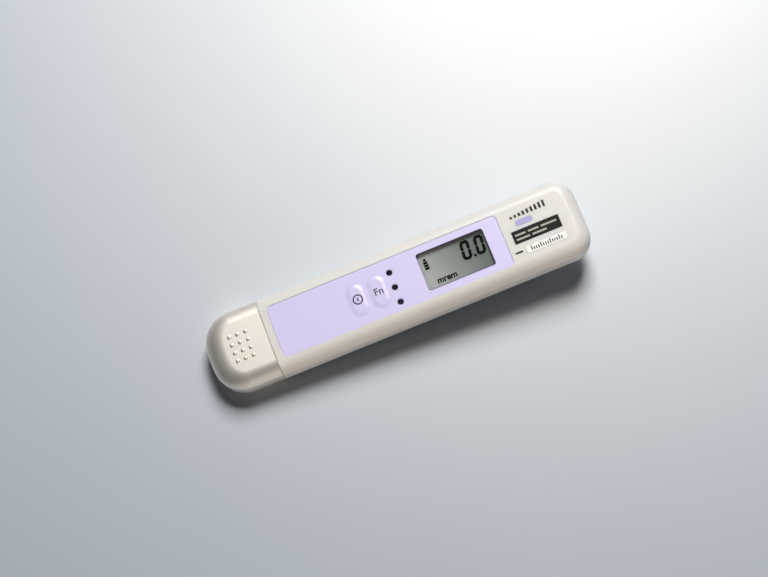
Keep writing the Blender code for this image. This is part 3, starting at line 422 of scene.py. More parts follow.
mesh = to_mesh(case_block(rear_low.x, 0.0, rear_low.z, parting, rear_low.z, REAR_EDGE_RADIUS))
tongue_x = rear_low.x + TONGUE_FROM_SEAM
mesh = carve(mesh, case_block(tongue_x, CASE_WALL - TONGUE_WALL, parting - CASE_WALL, rear_high.z), "UNION")
mesh = carve(mesh, case_block(rear_low.x - CASE_WALL, CASE_WALL, rear_low.z + CASE_WALL,
                              rear_high.z + CASE_WALL, rear_low.z + CASE_WALL, CAVITY_FLOOR_RADIUS))
rib_outer = screw_places[1].y - head_diameter / 2 - 2 * FIT
rib_inner = rib_outer - RIB_THICKNESS
rib_low = rear_low.z + CASE_WALL / 2
rib_high = rear_low.z + CASE_WALL + RIB_HEIGHT
rib_start = screw_places[0].x
rib_end = screw_places[3].x
boss_diameter = head_diameter + 2 * BOSS_WALL
pillar_diameter = PILOT_DIAMETER + 2 * BOSS_WALL - 2 * FIT
for side in (-1, 1):
    sides = sorted((side * rib_inner, side * rib_outer))
    mesh = carve(mesh, block((rib_start, sides[0], rib_low), (rib_end, sides[1], rib_high)), "UNION")
for spot in screw_places:
    mesh = carve(mesh, pin(spot, boss_diameter, rib_low, under_board), "UNION")
for spot in clip_screw_places:
    mesh = carve(mesh, pin(spot, pillar_diameter, rib_low, under_board), "UNION")
below = rear_low.z - CASE_WALL
mesh = bored(mesh, screw_places, PILOT_DIAMETER, below, parting + CASE_WALL)
mesh = bored(mesh, screw_places, head_diameter + 2 * FIT, below, rear_low.z + HEAD_RECESS_DEPTH)
mesh = bored(mesh, clip_screw_places, PILOT_DIAMETER, below, rear_low.z + CLIP_PILOT_DEPTH)
made_piece("rear_case_shell", dress(mesh), [ivory], "case", ["rear_case"])


# Screws: four small steel screws that close the case, and two that hold the clip, each with a slot.
# They are headed and rolled, then plated with zinc.


def finish_nodes(finish, *nodes):
    """Gives one finish to nodes that are shown with their own mesh."""
    for node in nodes:
        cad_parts[node].data.materials.clear()
        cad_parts[node].data.materials.append(finish)


# Zinc plating on steel: bright, slightly clouded and a little uneven to the touch.
zinc = mottled_finish("zinc_plated_steel", 1.2, "B4B3AE", "C8C7C2", 0.12, 0.004, Metallic=1.0, Roughness=0.3)
finish_nodes(zinc, *case_screws, *clip_screws)


# Pocket clip: one strip of spring steel, blanked with round ends, bent in a press and brushed along its
# length. Two screws hold its root to the rear case, and its nose springs back against the case.

# Brushed steel: scratches 0.12 mm apart and about 4 mm long run along the strip and streak its shine.
# Real ones lie closer, and these are drawn coarser so that they show.
SCRATCH_PITCH = 0.12 * MM
SCRATCH_LENGTH = 4.0 * MM
brushed, tree, surface, place = new_finish("brushed_spring_steel", Metallic=1.0, Roughness=0.3)
stretch = add_node(tree, "Mapping", {"Vector": place, "Scale": (SCRATCH_PITCH / SCRATCH_LENGTH, 1.0, 1.0)})
streaks = add_node(tree, "TexNoise", {"Vector": stretch.outputs["Vector"], "Scale": 1 / SCRATCH_PITCH,
                                      "Detail": 3.0})
tone = add_node(tree, "Mix", {"Factor": streaks.outputs["Fac"], "A": srgb("A9A8A5"), "B": srgb("CFCECA")},
                data_type="RGBA")
tree.links.new(tone.outputs["Result"], surface.inputs["Base Color"])
rub = add_node(tree, "Bump", {"Height": streaks.outputs["Fac"], "Distance": 0.004 * MM})
tree.links.new(rub.outputs["Normal"], surface.inputs["Normal"])


def merged_copy(node):
    """A CAD node's mesh with its loose triangles merged, so that it can be shaded smooth."""
    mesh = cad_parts[node].data.copy()
    mesh.materials.clear()
    return cleaned(mesh, reach=0.001 * MM, flat=0.5)


# The bends are the long cross edges where the strip turns by more than a facet and less than a corner.
BEND_RADIUS = 1.0 * MM
BEND_LENGTH = 5.0 * MM
BEND_LEAST = math.radians(8)
BEND_MOST = math.radians(75)
STRIP_EDGE_BREAK = 0.1 * MM
strip = merged_copy("pocket_clip")
bm = bmesh.new()
bm.from_mesh(strip)
bends = [edge for edge in bm.edges
         if abs(edge.verts[0].co.y - edge.verts[1].co.y) > BEND_LENGTH
         and BEND_LEAST < edge.calc_face_angle(0.0) < BEND_MOST]
bmesh.ops.bevel(bm, geom=bends, offset=BEND_RADIUS, offset_type="OFFSET", segments=6, profile=0.5,
                affect="EDGES", material=-1, clamp_overlap=True)
bm.to_mesh(strip)
bm.free()
made_piece("pocket_clip_strip", dress(strip, STRIP_EDGE_BREAK), [brushed], "case", ["pocket_clip"])


# Circuit board: 1 mm glass-epoxy laminate under green solder mask, with the parts soldered to it.
# Chips are moulded black epoxy, capacitors are moulded tantalum, and cans and contacts are tinned.

# Solder mask over copper: deep green and glossy, with tracks 0.24 mm wide that show paler under it, round
# fields of 5.6 by 1.4 mm. The sizes in the pattern are shares of its unit.
TRACK_UNIT = 4.0 * MM
mask, tree, surface, place = new_finish("green_solder_mask", Roughness=0.28, IOR=1.5, Coat_Weight=0.4)
tracks = add_node(tree, "TexBrick",
                  {"Vector": place, "Color1": srgb("1F5B34"), "Color2": srgb("256B3C"),
                   "Mortar": srgb("347A48"), "Scale": 1 / TRACK_UNIT, "Mortar Size": 0.06,
                   "Brick Width": 1.4, "Row Height": 0.35})
tree.links.new(tracks.outputs["Color"], surface.inputs["Base Color"])
grain(tree, surface, place, 0.5 * MM, 0.01 * MM)

# Moulded epoxy: matt near-black with the dull grain of its glass filler.
epoxy = mottled_finish("moulded_black_epoxy", 0.4, "1B1C1E", "2A2B2D", 0.09, 0.01, Roughness=0.55, IOR=1.55)

# Tantalum capacitor resin: a warm ochre moulding, satin and slightly cloudy.
tantalum = mottled_finish("moulded_tantalum_resin", 0.6, "C98A2B", "DB9C38", 0.1, 0.01, Roughness=0.5,
                          IOR=1.5)

# Tinned sheet: a soft white metal, dipped, with broad dull clouds.
tinned = mottled_finish("tinned_sheet", 2.5, "BDBBB4", "D2D0C9", 0.25, 0.006, Metallic=1.0, Roughness=0.33)

# Polyester resin, white for the display's carrier and black for switches and sounder: satin from the mould.
white_resin = mottled_finish("moulded_white_polyester", 3, "DDDDD9", "E6E6E3", 0.15, 0.008, Roughness=0.48,
                             IOR=1.57)
black_resin = mottled_finish("moulded_black_polyester", 2, "17171A", "222226", 0.15, 0.008, Roughness=0.45,
                             IOR=1.57)

# Layered contact strip: thin conductive and plain rubber layers stacked along it, which look like fine
# black and grey stripes. They are 0.1 mm thick, and are drawn 0.4 mm thick so that they show. The wave
# texture turns by 20 radians over a unit of its scale.
LAYER_PAIR = 0.79 * MM
WAVE_RADIANS = 20
layered, tree, surface, place = new_finish("layered_contact_rubber", Roughness=0.7)
layers = add_node(tree, "TexWave", {"Vector": place, "Scale": math.tau / WAVE_RADIANS / LAYER_PAIR},
                  bands_direction="X")
shade = add_node(tree, "Mix", {"Factor": layers.outputs["Fac"], "A": srgb("1C1C1C"), "B": srgb("8D8A86")},
                 data_type="RGBA")
tree.links.new(shade.outputs["Result"], surface.inputs["Base Color"])

finish_nodes(mask, "circuit_board")
finish_nodes(epoxy, "microcontroller", "memory_chip", "radiation_detector")
finish_nodes(tantalum, "capacitor_1", "capacitor_2")
finish_nodes(tinned, "crystal", "detector_shield", "positive_contact", "negative_contact")
finish_nodes(white_resin, "lcd_frame", "power_switch_stem", "function_switch_stem")
finish_nodes(black_resin, "power_switch", "function_switch", "buzzer")
finish_nodes(layered, "lcd_connector_upper", "lcd_connector_lower")


# Display: a twisted-nematic glass with a grey-green reflective back, read through a clear window.
# The digits, the battery mark and the unit are the glass's own dark segments.

glass_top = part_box("lcd_glass")[1].z
window_low, window_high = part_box("display_window")
panel_low, panel_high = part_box("front_panel")
WINDOW_MARGIN = 1.0 * MM
margin = Vector((WINDOW_MARGIN, WINDOW_MARGIN, 0.0))
open_low = window_low + margin
open_high = window_high - margin

# Polariser film rolled onto the glass over its reflector: grey-green with a fine sparkle. Over it lies a
# painted shade, pale at the near left and darker toward the far right, where the walls of the opening shade
# the display.
# The painted shade starts 9.5 mm from the origin and takes 18 mm, half a radian off the case's length.
SHADE_RAMP_START = 9.454 * MM
SHADE_RAMP_LENGTH = 18.18 * MM
SHADE_RAMP_TURN = 0.5
polariser, tree, surface, place = new_finish("lcd_polariser_and_painted_shade", Roughness=0.3, IOR=1.5)
along = add_node(tree, "Mapping",
                 {"Vector": place, "Location": (-SHADE_RAMP_START / SHADE_RAMP_LENGTH, 0.0, 0.0),
                  "Rotation": (0.0, 0.0, -SHADE_RAMP_TURN), "Scale": (1 / SHADE_RAMP_LENGTH, 1 / SHADE_RAMP_LENGTH, 1.0)})
# Painted shade: a ramp that darkens the display toward its far right, as the opening's walls shade it.
painted_shade_ramp = add_node(tree, "TexGradient", {"Vector": along.outputs["Vector"]})
tone = add_node(tree, "Mix", {"Factor": painted_shade_ramp.outputs["Fac"], "A": srgb("C8CDCB"), "B": srgb("7F8A85")},
                data_type="RGBA")
speck = add_node(tree, "TexNoise", {"Vector": place, "Scale": 1 / (0.2 * MM), "Detail": 2.0})
sparkle = add_node(tree, "Mix", {"Factor": 0.12, "A": tone.outputs["Result"], "B": speck.outputs["Color"]},
                   data_type="RGBA", blend_type="SOFT_LIGHT")
tree.links.new(sparkle.outputs["Result"], surface.inputs["Base Color"])
finish_nodes(polariser, "lcd_glass")

# Clear polycarbonate: a polished sheet that lets the light through, mirrors it at a low angle, and has the
# faint ripple of cast plastic.
clear, tree, surface, place = new_finish("polished_clear_polycarbonate")
tree.nodes.remove(surface)
tint = mottle(tree, place, 5 * MM, "F4F4F4", "F8F8F8")
see_through = add_node(tree, "BsdfTransparent", {"Color": tint})
swell = add_node(tree, "TexNoise", {"Vector": place, "Scale": 1 / (4 * MM)})
ripple = add_node(tree, "Bump", {"Height": swell.outputs["Fac"], "Distance": 0.003 * MM})
shine = add_node(tree, "BsdfGlossy", {"Color": srgb("FFFFFF"), "Roughness": 0.08,
                                      "Normal": ripple.outputs["Normal"]})
rim_gloss = add_node(tree, "LayerWeight", {"Blend": 0.15})
blend = add_node(tree, "MixShader", {"Fac": rim_gloss.outputs["Facing"], 1: see_through.outputs["BSDF"],
                                     2: shine.outputs["BSDF"]})
tree.links.new(blend.outputs["Shader"], tree.nodes["Material Output"].inputs["Surface"])
made_piece("display_window_sheet", dress(merged_copy("display_window"), 0.0), [clear],
           "case", ["display_window"])

# Segment ink: the dark state of the crystal, almost black with a violet cast.
segment_dark = mottled_finish("dark_lcd_segment", 0.5, "020203", "060608", Roughness=0.5,
                              Specular_IOR_Level=0.1)

DIGIT_HEIGHT = 7.3 * MM
DIGIT_WIDTH = 3.55 * MM
DIGIT_STROKE = 1.14 * MM
DIGIT_SLANT = math.radians(4.4)
DIGIT_MIDDLE_Y = 2.35 * MM
SEGMENT_GAP = 0.2 * MM
SEGMENT_POINT = 0.36 * DIGIT_STROKE
SEGMENT_OVERLAP = 0.3 * DIGIT_STROKE
SEGMENT_THICKNESS = 0.03 * MM
SEGMENT_HEIGHT = glass_top + 0.02 * MM


def plate(low_corner, high_corner, level, thickness=SEGMENT_THICKNESS):
    """A thin flat mark lying at one height."""
    return block((*low_corner[:2], level), (*high_corner[:2], level + thickness))


def bar_segment(middle, length, upright):
    """One display segment: a bar whose two ends are cut to points."""
    bm = plate((-length / 2, -DIGIT_STROKE / 2), (length / 2, DIGIT_STROKE / 2), SEGMENT_HEIGHT)
    round_edges(bm, lambda a, b: (a.co - b.co).xy.length < SAME_PLACE, SEGMENT_POINT, 1)
    turn = Matrix.Rotation(math.radians(90), 4, "Z") if upright else Matrix.Identity(4)
    bmesh.ops.transform(bm, matrix=Matrix.Translation((*middle, 0.0)) @ turn, verts=bm.verts)
    return bm


def zero_digit(middle_x):
    """The six lit segments of a nought, leaning as the display's figures do."""
    half_width = (DIGIT_WIDTH - DIGIT_STROKE) / 2
    half_height = (DIGIT_HEIGHT - DIGIT_STROKE) / 2
    across = 2 * half_width + SEGMENT_OVERLAP
    upright = half_height - 2 * SEGMENT_GAP + SEGMENT_OVERLAP
    bars = [bar_segment((0.0, side * half_height), across, False) for side in (-1, 1)]
    bars += [bar_segment((side * half_width, level * half_height / 2), upright, True)
             for side in (-1, 1) for level in (-1, 1)]
    digit = together(*bars)
    lean = Matrix.Identity(4)
    lean[0][1] = math.tan(DIGIT_SLANT)
    bmesh.ops.transform(digit, matrix=Matrix.Translation((middle_x, DIGIT_MIDDLE_Y, 0.0)) @ lean,
                        verts=digit.verts)
    return digit


LEFT_DIGIT_X = 28.7 * MM
RIGHT_DIGIT_X = 34.05 * MM
POINT_X = 31.2 * MM
POINT_Y = -0.75 * MM
POINT_SIZE = 0.95 * MM
BATTERY_X = 13.4 * MM
BATTERY_LOW_Y = 0.9 * MM
BATTERY_CELLS = 4
BATTERY_CELL_SIZE = (1.6 * MM, 0.92 * MM)
BATTERY_PITCH = 1.08 * MM
BATTERY_TIP_SHARE = 0.6

marks = [zero_digit(LEFT_DIGIT_X), zero_digit(RIGHT_DIGIT_X)]
marks.append(plate((POINT_X - POINT_SIZE / 2, POINT_Y - POINT_SIZE / 2),
                   (POINT_X + POINT_SIZE / 2, POINT_Y + POINT_SIZE / 2), SEGMENT_HEIGHT))
for i in range(BATTERY_CELLS):
    cell_width = BATTERY_CELL_SIZE[0] * (BATTERY_TIP_SHARE if i == BATTERY_CELLS - 1 else 1.0)
    cell_y = BATTERY_LOW_Y + i * BATTERY_PITCH
    marks.append(plate((BATTERY_X - cell_width / 2, cell_y),
                       (BATTERY_X + cell_width / 2, cell_y + BATTERY_CELL_SIZE[1]), SEGMENT_HEIGHT))
made_piece("lcd_digits", to_mesh(together(*marks)), [segment_dark], "case")


FONT_CAPITAL = 0.729


def lettering(words, height, place, thickness, bold, wide=1.0):
    """Plain letters as a thin flat mesh, centred on a place. The height is that of a capital letter, which is
    FONT_CAPITAL of the type's own size."""
    curve = bpy.data.curves.new("letters", "FONT")
    curve.body = words
    curve.align_x = "CENTER"
    curve.align_y = "CENTER"
    curve.offset = bold
    curve.extrude = 0.5
    curve.resolution_u = 4
    mesh = worked(placed("letters", curve))
    bpy.data.curves.remove(curve)
    scale = height / FONT_CAPITAL
    mesh.transform(Matrix.Translation(place) @ Matrix.Diagonal((scale * wide, scale, thickness, 1.0)))
    return cleaned(mesh, flat=0.0)


UNIT_PLACE = Vector((18.8 * MM, -4.45 * MM, SEGMENT_HEIGHT + SEGMENT_THICKNESS / 2))
UNIT_HEIGHT = 2.35 * MM
UNIT_BOLD = 0.035
UNIT_WIDE = 0.98
unit = lettering("mrem", UNIT_HEIGHT, UNIT_PLACE, SEGMENT_THICKNESS, UNIT_BOLD, UNIT_WIDE)
made_piece("lcd_unit", unit, [segment_dark], "case")


# Sound mesh: a square of black polyester cloth, plain woven. It is glued behind the three holes and keeps
# dust off the sounder.

# Woven polyester: a checkered relief of threads 0.15 mm wide, which the holes show as dark violet grey.
THREAD = 0.15 * MM
cloth, tree, surface, place = new_finish("woven_black_polyester", Roughness=0.75, Sheen_Weight=0.2)
weave = add_node(tree, "TexChecker", {"Vector": place, "Scale": 1 / THREAD, "Color1": srgb("241F30"),
                                      "Color2": srgb("4A4160")})
tree.links.new(weave.outputs["Color"], surface.inputs["Base Color"])
threads = add_node(tree, "Bump", {"Height": weave.outputs["Fac"], "Distance": 0.03 * MM})
tree.links.new(threads.outputs["Normal"], surface.inputs["Normal"])
finish_nodes(cloth, "sound_mesh")


# Front case: the upper half of the ivory ABS moulding. Its long edges roll over in a wide soft round,
# and its face has a shallow bed for the panel, with a hole for the display, the keys and the sounder.

PANEL_CORNER_RADIUS = 1.4 * MM
DISPLAY_CORNER_RADIUS = 1.0 * MM
SOUND_HOLE_DIAMETER = 2.4 * MM
SOUND_PITCH = 5.8 * MM
KEY_END_SEGMENTS = 32
SCREW_BITE = 2.6 * MM
panel_bed = panel_low.z - SEAT
cavity_roof = front_high.z - ROOF
sound_middle = middle_of("sound_mesh")


def rounded_plate(low_corner, high_corner, low, high, radius, segments=8):
    """A plate with four upright round corners."""
    bm = block((*low_corner[:2], low), (*high_corner[:2], high))
    round_edges(bm, lambda a, b: abs(a.co.z - b.co.z) > (high - low) / 2, radius, segments)
    return bm


def verts_of(geom):
    """The vertices among what an operator has made."""
    return [part for part in geom if isinstance(part, bmesh.types.BMVert)]


def swing(bm, vert, centre, angle, steps):
    """Draws an arc from a vertex about an upright axis, and returns its last vertex."""
    spun = bmesh.ops.spin(bm, geom=[vert], cent=centre, axis=(0, 0, 1), angle=angle, steps=steps)
    return verts_of(spun["geom_last"])[0]


def raise_outline(bm, height):
    """Fills a closed outline and raises it into a solid."""
    merge(bm)
    face = bmesh.ops.contextual_create(bm, geom=bm.edges)["faces"]
    raised = bmesh.ops.extrude_face_region(bm, geom=face)["geom"]
    bmesh.ops.translate(bm, vec=(0, 0, height), verts=verts_of(raised))
    bmesh.ops.recalc_face_normals(bm, faces=bm.faces)
    return bm


def stadium(middle, width, length, low, high):
    """A plate with fully round ends, longer along Y."""
    bm = bmesh.new()
    reach = (length - width) / 2
    start = bm.verts.new((middle.x + width / 2, middle.y - reach, low))
    top = bm.verts.new((middle.x + width / 2, middle.y + reach, low))
    down = bm.verts.new((middle.x - width / 2, middle.y - reach, low))
    bm.edges.new((start, top))
    left = swing(bm, top, (middle.x, middle.y + reach, low), math.pi, KEY_END_SEGMENTS)
    bm.edges.new((left, down))
    swing(bm, down, (middle.x, middle.y - reach, low), math.pi, KEY_END_SEGMENTS)
    return raise_outline(bm, high - low)


key_low, key_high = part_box("power_key")
KEY_FLANGE = 0.45 * MM
KEY_WIDTH = key_high.x - key_low.x - 2 * KEY_FLANGE
KEY_LENGTH = key_high.y - key_low.y - 2 * KEY_FLANGE
key_places = {name: middle_of(name) for name in ("power_key", "function_key")}


def face_holes():
    """The two holes that the keys stand in and the three over the sounder, as one shape to cut with."""
    span = (cavity_roof - ROOF, front_high.z + ROOF)
    keys = [stadium(spot, KEY_WIDTH + 2 * FIT, KEY_LENGTH + 2 * FIT, *span) for spot in key_places.values()]
    sound = [pin((sound_middle.x, sound_middle.y + row * SOUND_PITCH), SOUND_HOLE_DIAMETER, *span)
             for row in (-1, 0, 1)]
    return together(*keys, *sound)


mesh = to_mesh(case_block(front_low.x, 0.0, front_low.z, front_high.z, front_high.z, FRONT_EDGE_RADIUS))
mesh = carve(mesh, case_block(tongue_x - FIT, CASE_WALL - TONGUE_WALL - FIT, front_low.z - CASE_WALL,
                              rear_high.z + SEAT))
mesh = carve(mesh, case_block(front_low.x - CASE_WALL, CASE_WALL, front_low.z - CASE_WALL, cavity_roof,
                              cavity_roof, CAVITY_ROOF_RADIUS))
for spot in screw_places:
    mesh = carve(mesh, pin(spot, pillar_diameter, on_board, cavity_roof + ROOF / 4), "UNION")
mesh = bored(mesh, screw_places, PILOT_DIAMETER, front_low.z - CASE_WALL,
             on_board + SCREW_BITE + PILOT_DIAMETER / 4)
room = Vector((FIT, FIT, 0.0))
mesh = carve(mesh, rounded_plate(panel_low - room, panel_high + room, panel_bed, front_high.z + ROOF,
                                 PANEL_CORNER_RADIUS + FIT))
mesh = carve(mesh, rounded_plate(window_low - room, window_high + room, cavity_roof - ROOF, front_high.z,
                                 DISPLAY_CORNER_RADIUS + WINDOW_MARGIN + FIT))
mesh = carve(mesh, face_holes())
made_piece("front_case_shell", dress(mesh), [ivory], "case", ["front_case"])


# Front panel: a lavender polycarbonate sheet, printed on its back and given a fine satin face.
# It drops into its bed with a hairline gap, and the sides of its display opening carry painted shade in dark
# violet.

# Polycarbonate over back print: an even pale lavender, with the dull shine of a finely grained face.
lavender = mottled_finish("satin_lavender_polycarbonate", 12, "CEC7EF", "D2CBF1", 0.12, 0.004, Roughness=0.4,
                          IOR=1.58, Coat_Weight=0.15, Coat_Roughness=0.3)

# Dark violet: painted shade on the sides of the display opening, where the recess is in shade, and the ink of
# the window's printed border.
violet_print_and_shade = mottled_finish("dark_violet_print_and_painted_shade", 0.8, "7C7492", "8A82A0", Roughness=0.5)

# The sheet is drawn 0.08 mm larger all round than the solid, which leaves the hairline of the real fit.
PANEL_SNUG = 0.08 * MM
PANEL_EDGE_BREAK = 0.08 * MM
snug = Vector((PANEL_SNUG, PANEL_SNUG, 0.0))
mesh = to_mesh(rounded_plate(panel_low - snug, panel_high + snug, panel_low.z, panel_high.z,
                             PANEL_CORNER_RADIUS))
mesh = carve(mesh, rounded_plate(open_low, open_high, cavity_roof, front_high.z + ROOF,
                                 DISPLAY_CORNER_RADIUS))
mesh = carve(mesh, face_holes())
panel = made_piece("front_panel_sheet", dress(mesh, PANEL_EDGE_BREAK), [lavender, violet_print_and_shade], "case",
                   ["front_panel"])
# Painted shade: the sides of the display opening take the dark violet.
for face in panel.data.polygons:
    near_opening = (open_low.x - SEAT < face.center.x < open_high.x + SEAT
                    and open_low.y - SEAT < face.center.y < open_high.y + SEAT)
    if near_opening and abs(face.normal.z) < 0.5:
        face.material_index = 1

# Window border: a dark line printed round the window's underside. It reaches into the opening by its own
# share at the left, the near, the right and the far side.
BORDER_REACH = (0.1 * MM, 0.72 * MM, 0.4 * MM, 0.2 * MM)
BORDER_THICKNESS = 0.03 * MM
BORDER_DROP = 0.02 * MM
border_top = window_low.z - BORDER_DROP
border = to_mesh(rounded_plate(window_low, window_high, border_top - BORDER_THICKNESS, border_top,
                               DISPLAY_CORNER_RADIUS + WINDOW_MARGIN))
border = carve(border, rounded_plate((open_low.x + BORDER_REACH[0], open_low.y + BORDER_REACH[1]),
                                     (open_high.x - BORDER_REACH[2], open_high.y - BORDER_REACH[3]),
                                     cavity_roof - ROOF, front_high.z, DISPLAY_CORNER_RADIUS))
made_piece("window_border", dress(border, 0.0), [violet_print_and_shade], "case")


# Keys: two oval polycarbonate buttons with a soft dome, each over a tact switch. A flange under the case
# keeps each one in, a post reaches the switch, and a fine raised lip on the panel frames its hole.

LIP_STEPS = 5
LIP_REACH = 0.25 * MM
LIP_RISE = 0.04 * MM
LIP_SINK = 0.01 * MM
LIP_DEPTH = 0.1 * MM
LIP_GAP = 0.03 * MM
DOME_STEPS = 16
DOME_RISE = 0.29 * MM
DOME_REACH = 1.5 * MM
KEY_FLANGE_THICKNESS = 0.7 * MM
KEY_POST_DIAMETER = 2.6 * MM
KEY_EDGE_BREAK = 0.02 * MM


def lip_height(inward):
    """Height of the lip over the panel's face, at a distance in from its outer edge."""
    return -LIP_SINK + (LIP_RISE + LIP_SINK) * (inward / LIP_REACH) ** 2


def dome_height(inward):
    """Height of the key over the panel's face, at a distance in from the key's edge."""
    share = min(inward / DOME_REACH, 1.0)
    return LIP_RISE + (DOME_RISE - LIP_RISE) * share ** 2 * (3 - 2 * share)


def domed(bm, stops, height):
    """Draws a plate's upper face inward through a row of stops, each at its own height."""
    crown = max(bm.faces, key=lambda face: face.calc_center_median().z)
    inward = 0.0
    for stop in stops:
        bmesh.ops.inset_region(bm, faces=[crown], use_even_offset=True, thickness=stop - inward,
                               depth=height(stop) - height(inward))
        inward = stop
    return bm


# Polycarbonate from a polished mould: the panel's lavender with a little more gloss.
glossy_key = mottled_finish("polished_lavender_polycarbonate", 12, "CEC7EF", "D2CBF1", 0.12, 0.003,
                            Roughness=0.34, IOR=1.58, Coat_Weight=0.2, Coat_Roughness=0.25)

lip_stops = [LIP_REACH * i / LIP_STEPS for i in range(1, LIP_STEPS + 1)]
dome_stops = [DOME_REACH * i / DOME_STEPS for i in range(1, DOME_STEPS + 1)]
key_pads = {}
for name, spot in key_places.items():
    lip = stadium(spot, KEY_WIDTH + 2 * LIP_REACH, KEY_LENGTH + 2 * LIP_REACH, panel_high.z - LIP_DEPTH,
                  panel_high.z - LIP_SINK)
    lip = carve(to_mesh(domed(lip, lip_stops, lip_height)),
                stadium(spot, KEY_WIDTH, KEY_LENGTH, panel_low.z, panel_high.z + ROOF))
    made_piece(f"{name}_lip", dress(lip, 0.0), [glossy_key], "case")

    flange_top = cavity_roof - SEAT
    pad = stadium(spot, KEY_WIDTH - 2 * LIP_GAP, KEY_LENGTH - 2 * LIP_GAP,
                  flange_top - KEY_FLANGE_THICKNESS / 2, panel_high.z + LIP_RISE)
    pad = to_mesh(domed(pad, dome_stops, dome_height))
    pad = carve(pad, stadium(spot, KEY_WIDTH + 2 * KEY_FLANGE, KEY_LENGTH + 2 * KEY_FLANGE,
                             flange_top - KEY_FLANGE_THICKNESS, flange_top), "UNION")
    pad = carve(pad, pin(spot, KEY_POST_DIAMETER, key_low.z, flange_top - KEY_FLANGE_THICKNESS / 2), "UNION")
    key_pads[name] = made_piece(f"{name}_pad", dress(pad, KEY_EDGE_BREAK), [glossy_key], name,
                                [name])

# Screen-printed ink: thin, matt and near black with a violet cast.
ink = mottled_finish("screen_print_ink", 0.4, "2E293F", "3A344C", Roughness=0.6)

PRINT_THICKNESS = 0.02 * MM
PRINT_LIFT = 0.005 * MM
RING_DIAMETER = 3.85 * MM
RING_STROKE = 0.5 * MM
RING_BAR = Vector((0.5 * MM, 1.35 * MM, 0.0))
RING_OFFSET = Vector((0.1 * MM, 0.2 * MM, 0.0))
RING_SEGMENTS = 64
LETTER_HEIGHT = 2.75 * MM
LETTER_BOLD = 0.01


def lay_on(mesh, skin):
    """Drops a thin flat mark onto a curved skin, point by point, keeping its thickness."""
    depsgraph = bpy.context.evaluated_depsgraph_get()
    shape = skin.evaluated_get(depsgraph)
    for vert in mesh.vertices:
        above = Vector((vert.co.x, vert.co.y, panel_high.z + ROOF))
        found, where, _, _ = shape.ray_cast(above, Vector((0, 0, -1)))
        if found:
            vert.co.z = where.z + PRINT_LIFT + vert.co.z
    return mesh


def ring(middle, diameter, stroke):
    """A flat ring, spun from its square section."""
    bm = bmesh.new()
    outer = bm.verts.new((middle.x + diameter / 2, middle.y, 0.0))
    inner = bm.verts.new((middle.x + diameter / 2 - stroke, middle.y, 0.0))
    edge = bm.edges.new((outer, inner))
    lifted = bmesh.ops.extrude_edge_only(bm, edges=[edge])["geom"]
    bmesh.ops.translate(bm, vec=(0, 0, PRINT_THICKNESS), verts=verts_of(lifted))
    bmesh.ops.spin(bm, geom=bm.faces[:] + bm.edges[:] + bm.verts[:], cent=(middle.x, middle.y, 0.0),
                   axis=(0, 0, 1), angle=math.tau, steps=RING_SEGMENTS, use_merge=True)
    merge(bm)
    inside = [face for face in bm.faces if abs(face.normal.z) < 0.5
              and abs(face.calc_center_median().y - middle.y) < SAME_PLACE]
    bmesh.ops.delete(bm, geom=inside, context="FACES")
    bmesh.ops.recalc_face_normals(bm, faces=bm.faces)
    return bm


spot = key_places["power_key"] + RING_OFFSET
bar = plate(spot - RING_BAR / 2, spot + RING_BAR / 2, 0.0, PRINT_THICKNESS)
mark = to_mesh(together(ring(spot, RING_DIAMETER, RING_STROKE), bar))
made_piece("power_mark", lay_on(mark, key_pads["power_key"]), [ink], "power_key")

spot = key_places["function_key"]
mark = lettering("Fn", LETTER_HEIGHT, Vector((spot.x, spot.y, PRINT_THICKNESS / 2)), PRINT_THICKNESS,
                 LETTER_BOLD)
made_piece("function_mark", lay_on(mark, key_pads["function_key"]), [ink], "function_key")


# Print on the far end: a violet pill, a dark bar with pale dashes, small dark marks, and a white vinyl label
# with a row of ticks. All of it is thin, flat and generic, pad-printed or stuck onto the moulded face.

# Pad-printing inks: thin matt films, one nearly black, one pale grey, one violet.
bar_ink = mottled_finish("black_pad_print", 0.5, "131211", "1D1C1A", Roughness=0.6, Specular_IOR_Level=0.2)
pale_ink = mottled_finish("pale_grey_pad_print", 0.4, "9A988F", "B4B2A8", Roughness=0.55)
pill_ink = mottled_finish("violet_pad_print", 1.0, "A29CD0", "ABA6D6", Roughness=0.45)

# Vinyl label: a smooth white sheet with a faint gloss.
label_paper = mottled_finish("white_vinyl_label", 2.0, "EEEDEB", "F3F2F0", Roughness=0.4, Coat_Weight=0.2)


def printed(name, rects, finish, level=0.0, radius=0.0):
    """Flat print on the case's face: (low x, low y, high x, high y) fields in millimetres."""
    base = front_high.z + PRINT_LIFT + level
    fields = []
    for x0, y0, x1, y1 in rects:
        corners = ((x0 * MM, y0 * MM), (x1 * MM, y1 * MM))
        if radius:
            fields.append(rounded_plate(*corners, base, base + PRINT_THICKNESS, radius, 12))
        else:
            fields.append(plate(*corners, base, PRINT_THICKNESS))
    made_piece(name, to_mesh(together(*fields)), [finish], "case")


OVERPRINT = 1.5 * PRINT_THICKNESS
PILL_RADIUS = 1.0 * MM
LABEL_RADIUS = 0.3 * MM
printed("pill_print", [(48.6, 2.75, 55.2, 4.85)], pill_ink, radius=PILL_RADIUS)
printed("bar_print", [(45.9, -3.5, 64.0, 1.4)], bar_ink)

# Each row of dashes has the height of its middle, and each dash its two ends.
DASH_HALF = 0.34
DASH_ROWS = ((-0.35, [(46.9, 50.9), (51.8, 55.9), (56.8, 62.8)]), (-2.05, [(46.9, 52.0), (53.0, 58.4)]))
dashes = [(x0, y - DASH_HALF, x1, y + DASH_HALF) for y, row in DASH_ROWS for x0, x1 in row]
printed("bar_dashes", dashes, pale_ink, OVERPRINT)
printed("white_label", [(49.0, -8.1, 64.3, -5.4)], label_paper, radius=LABEL_RADIUS)

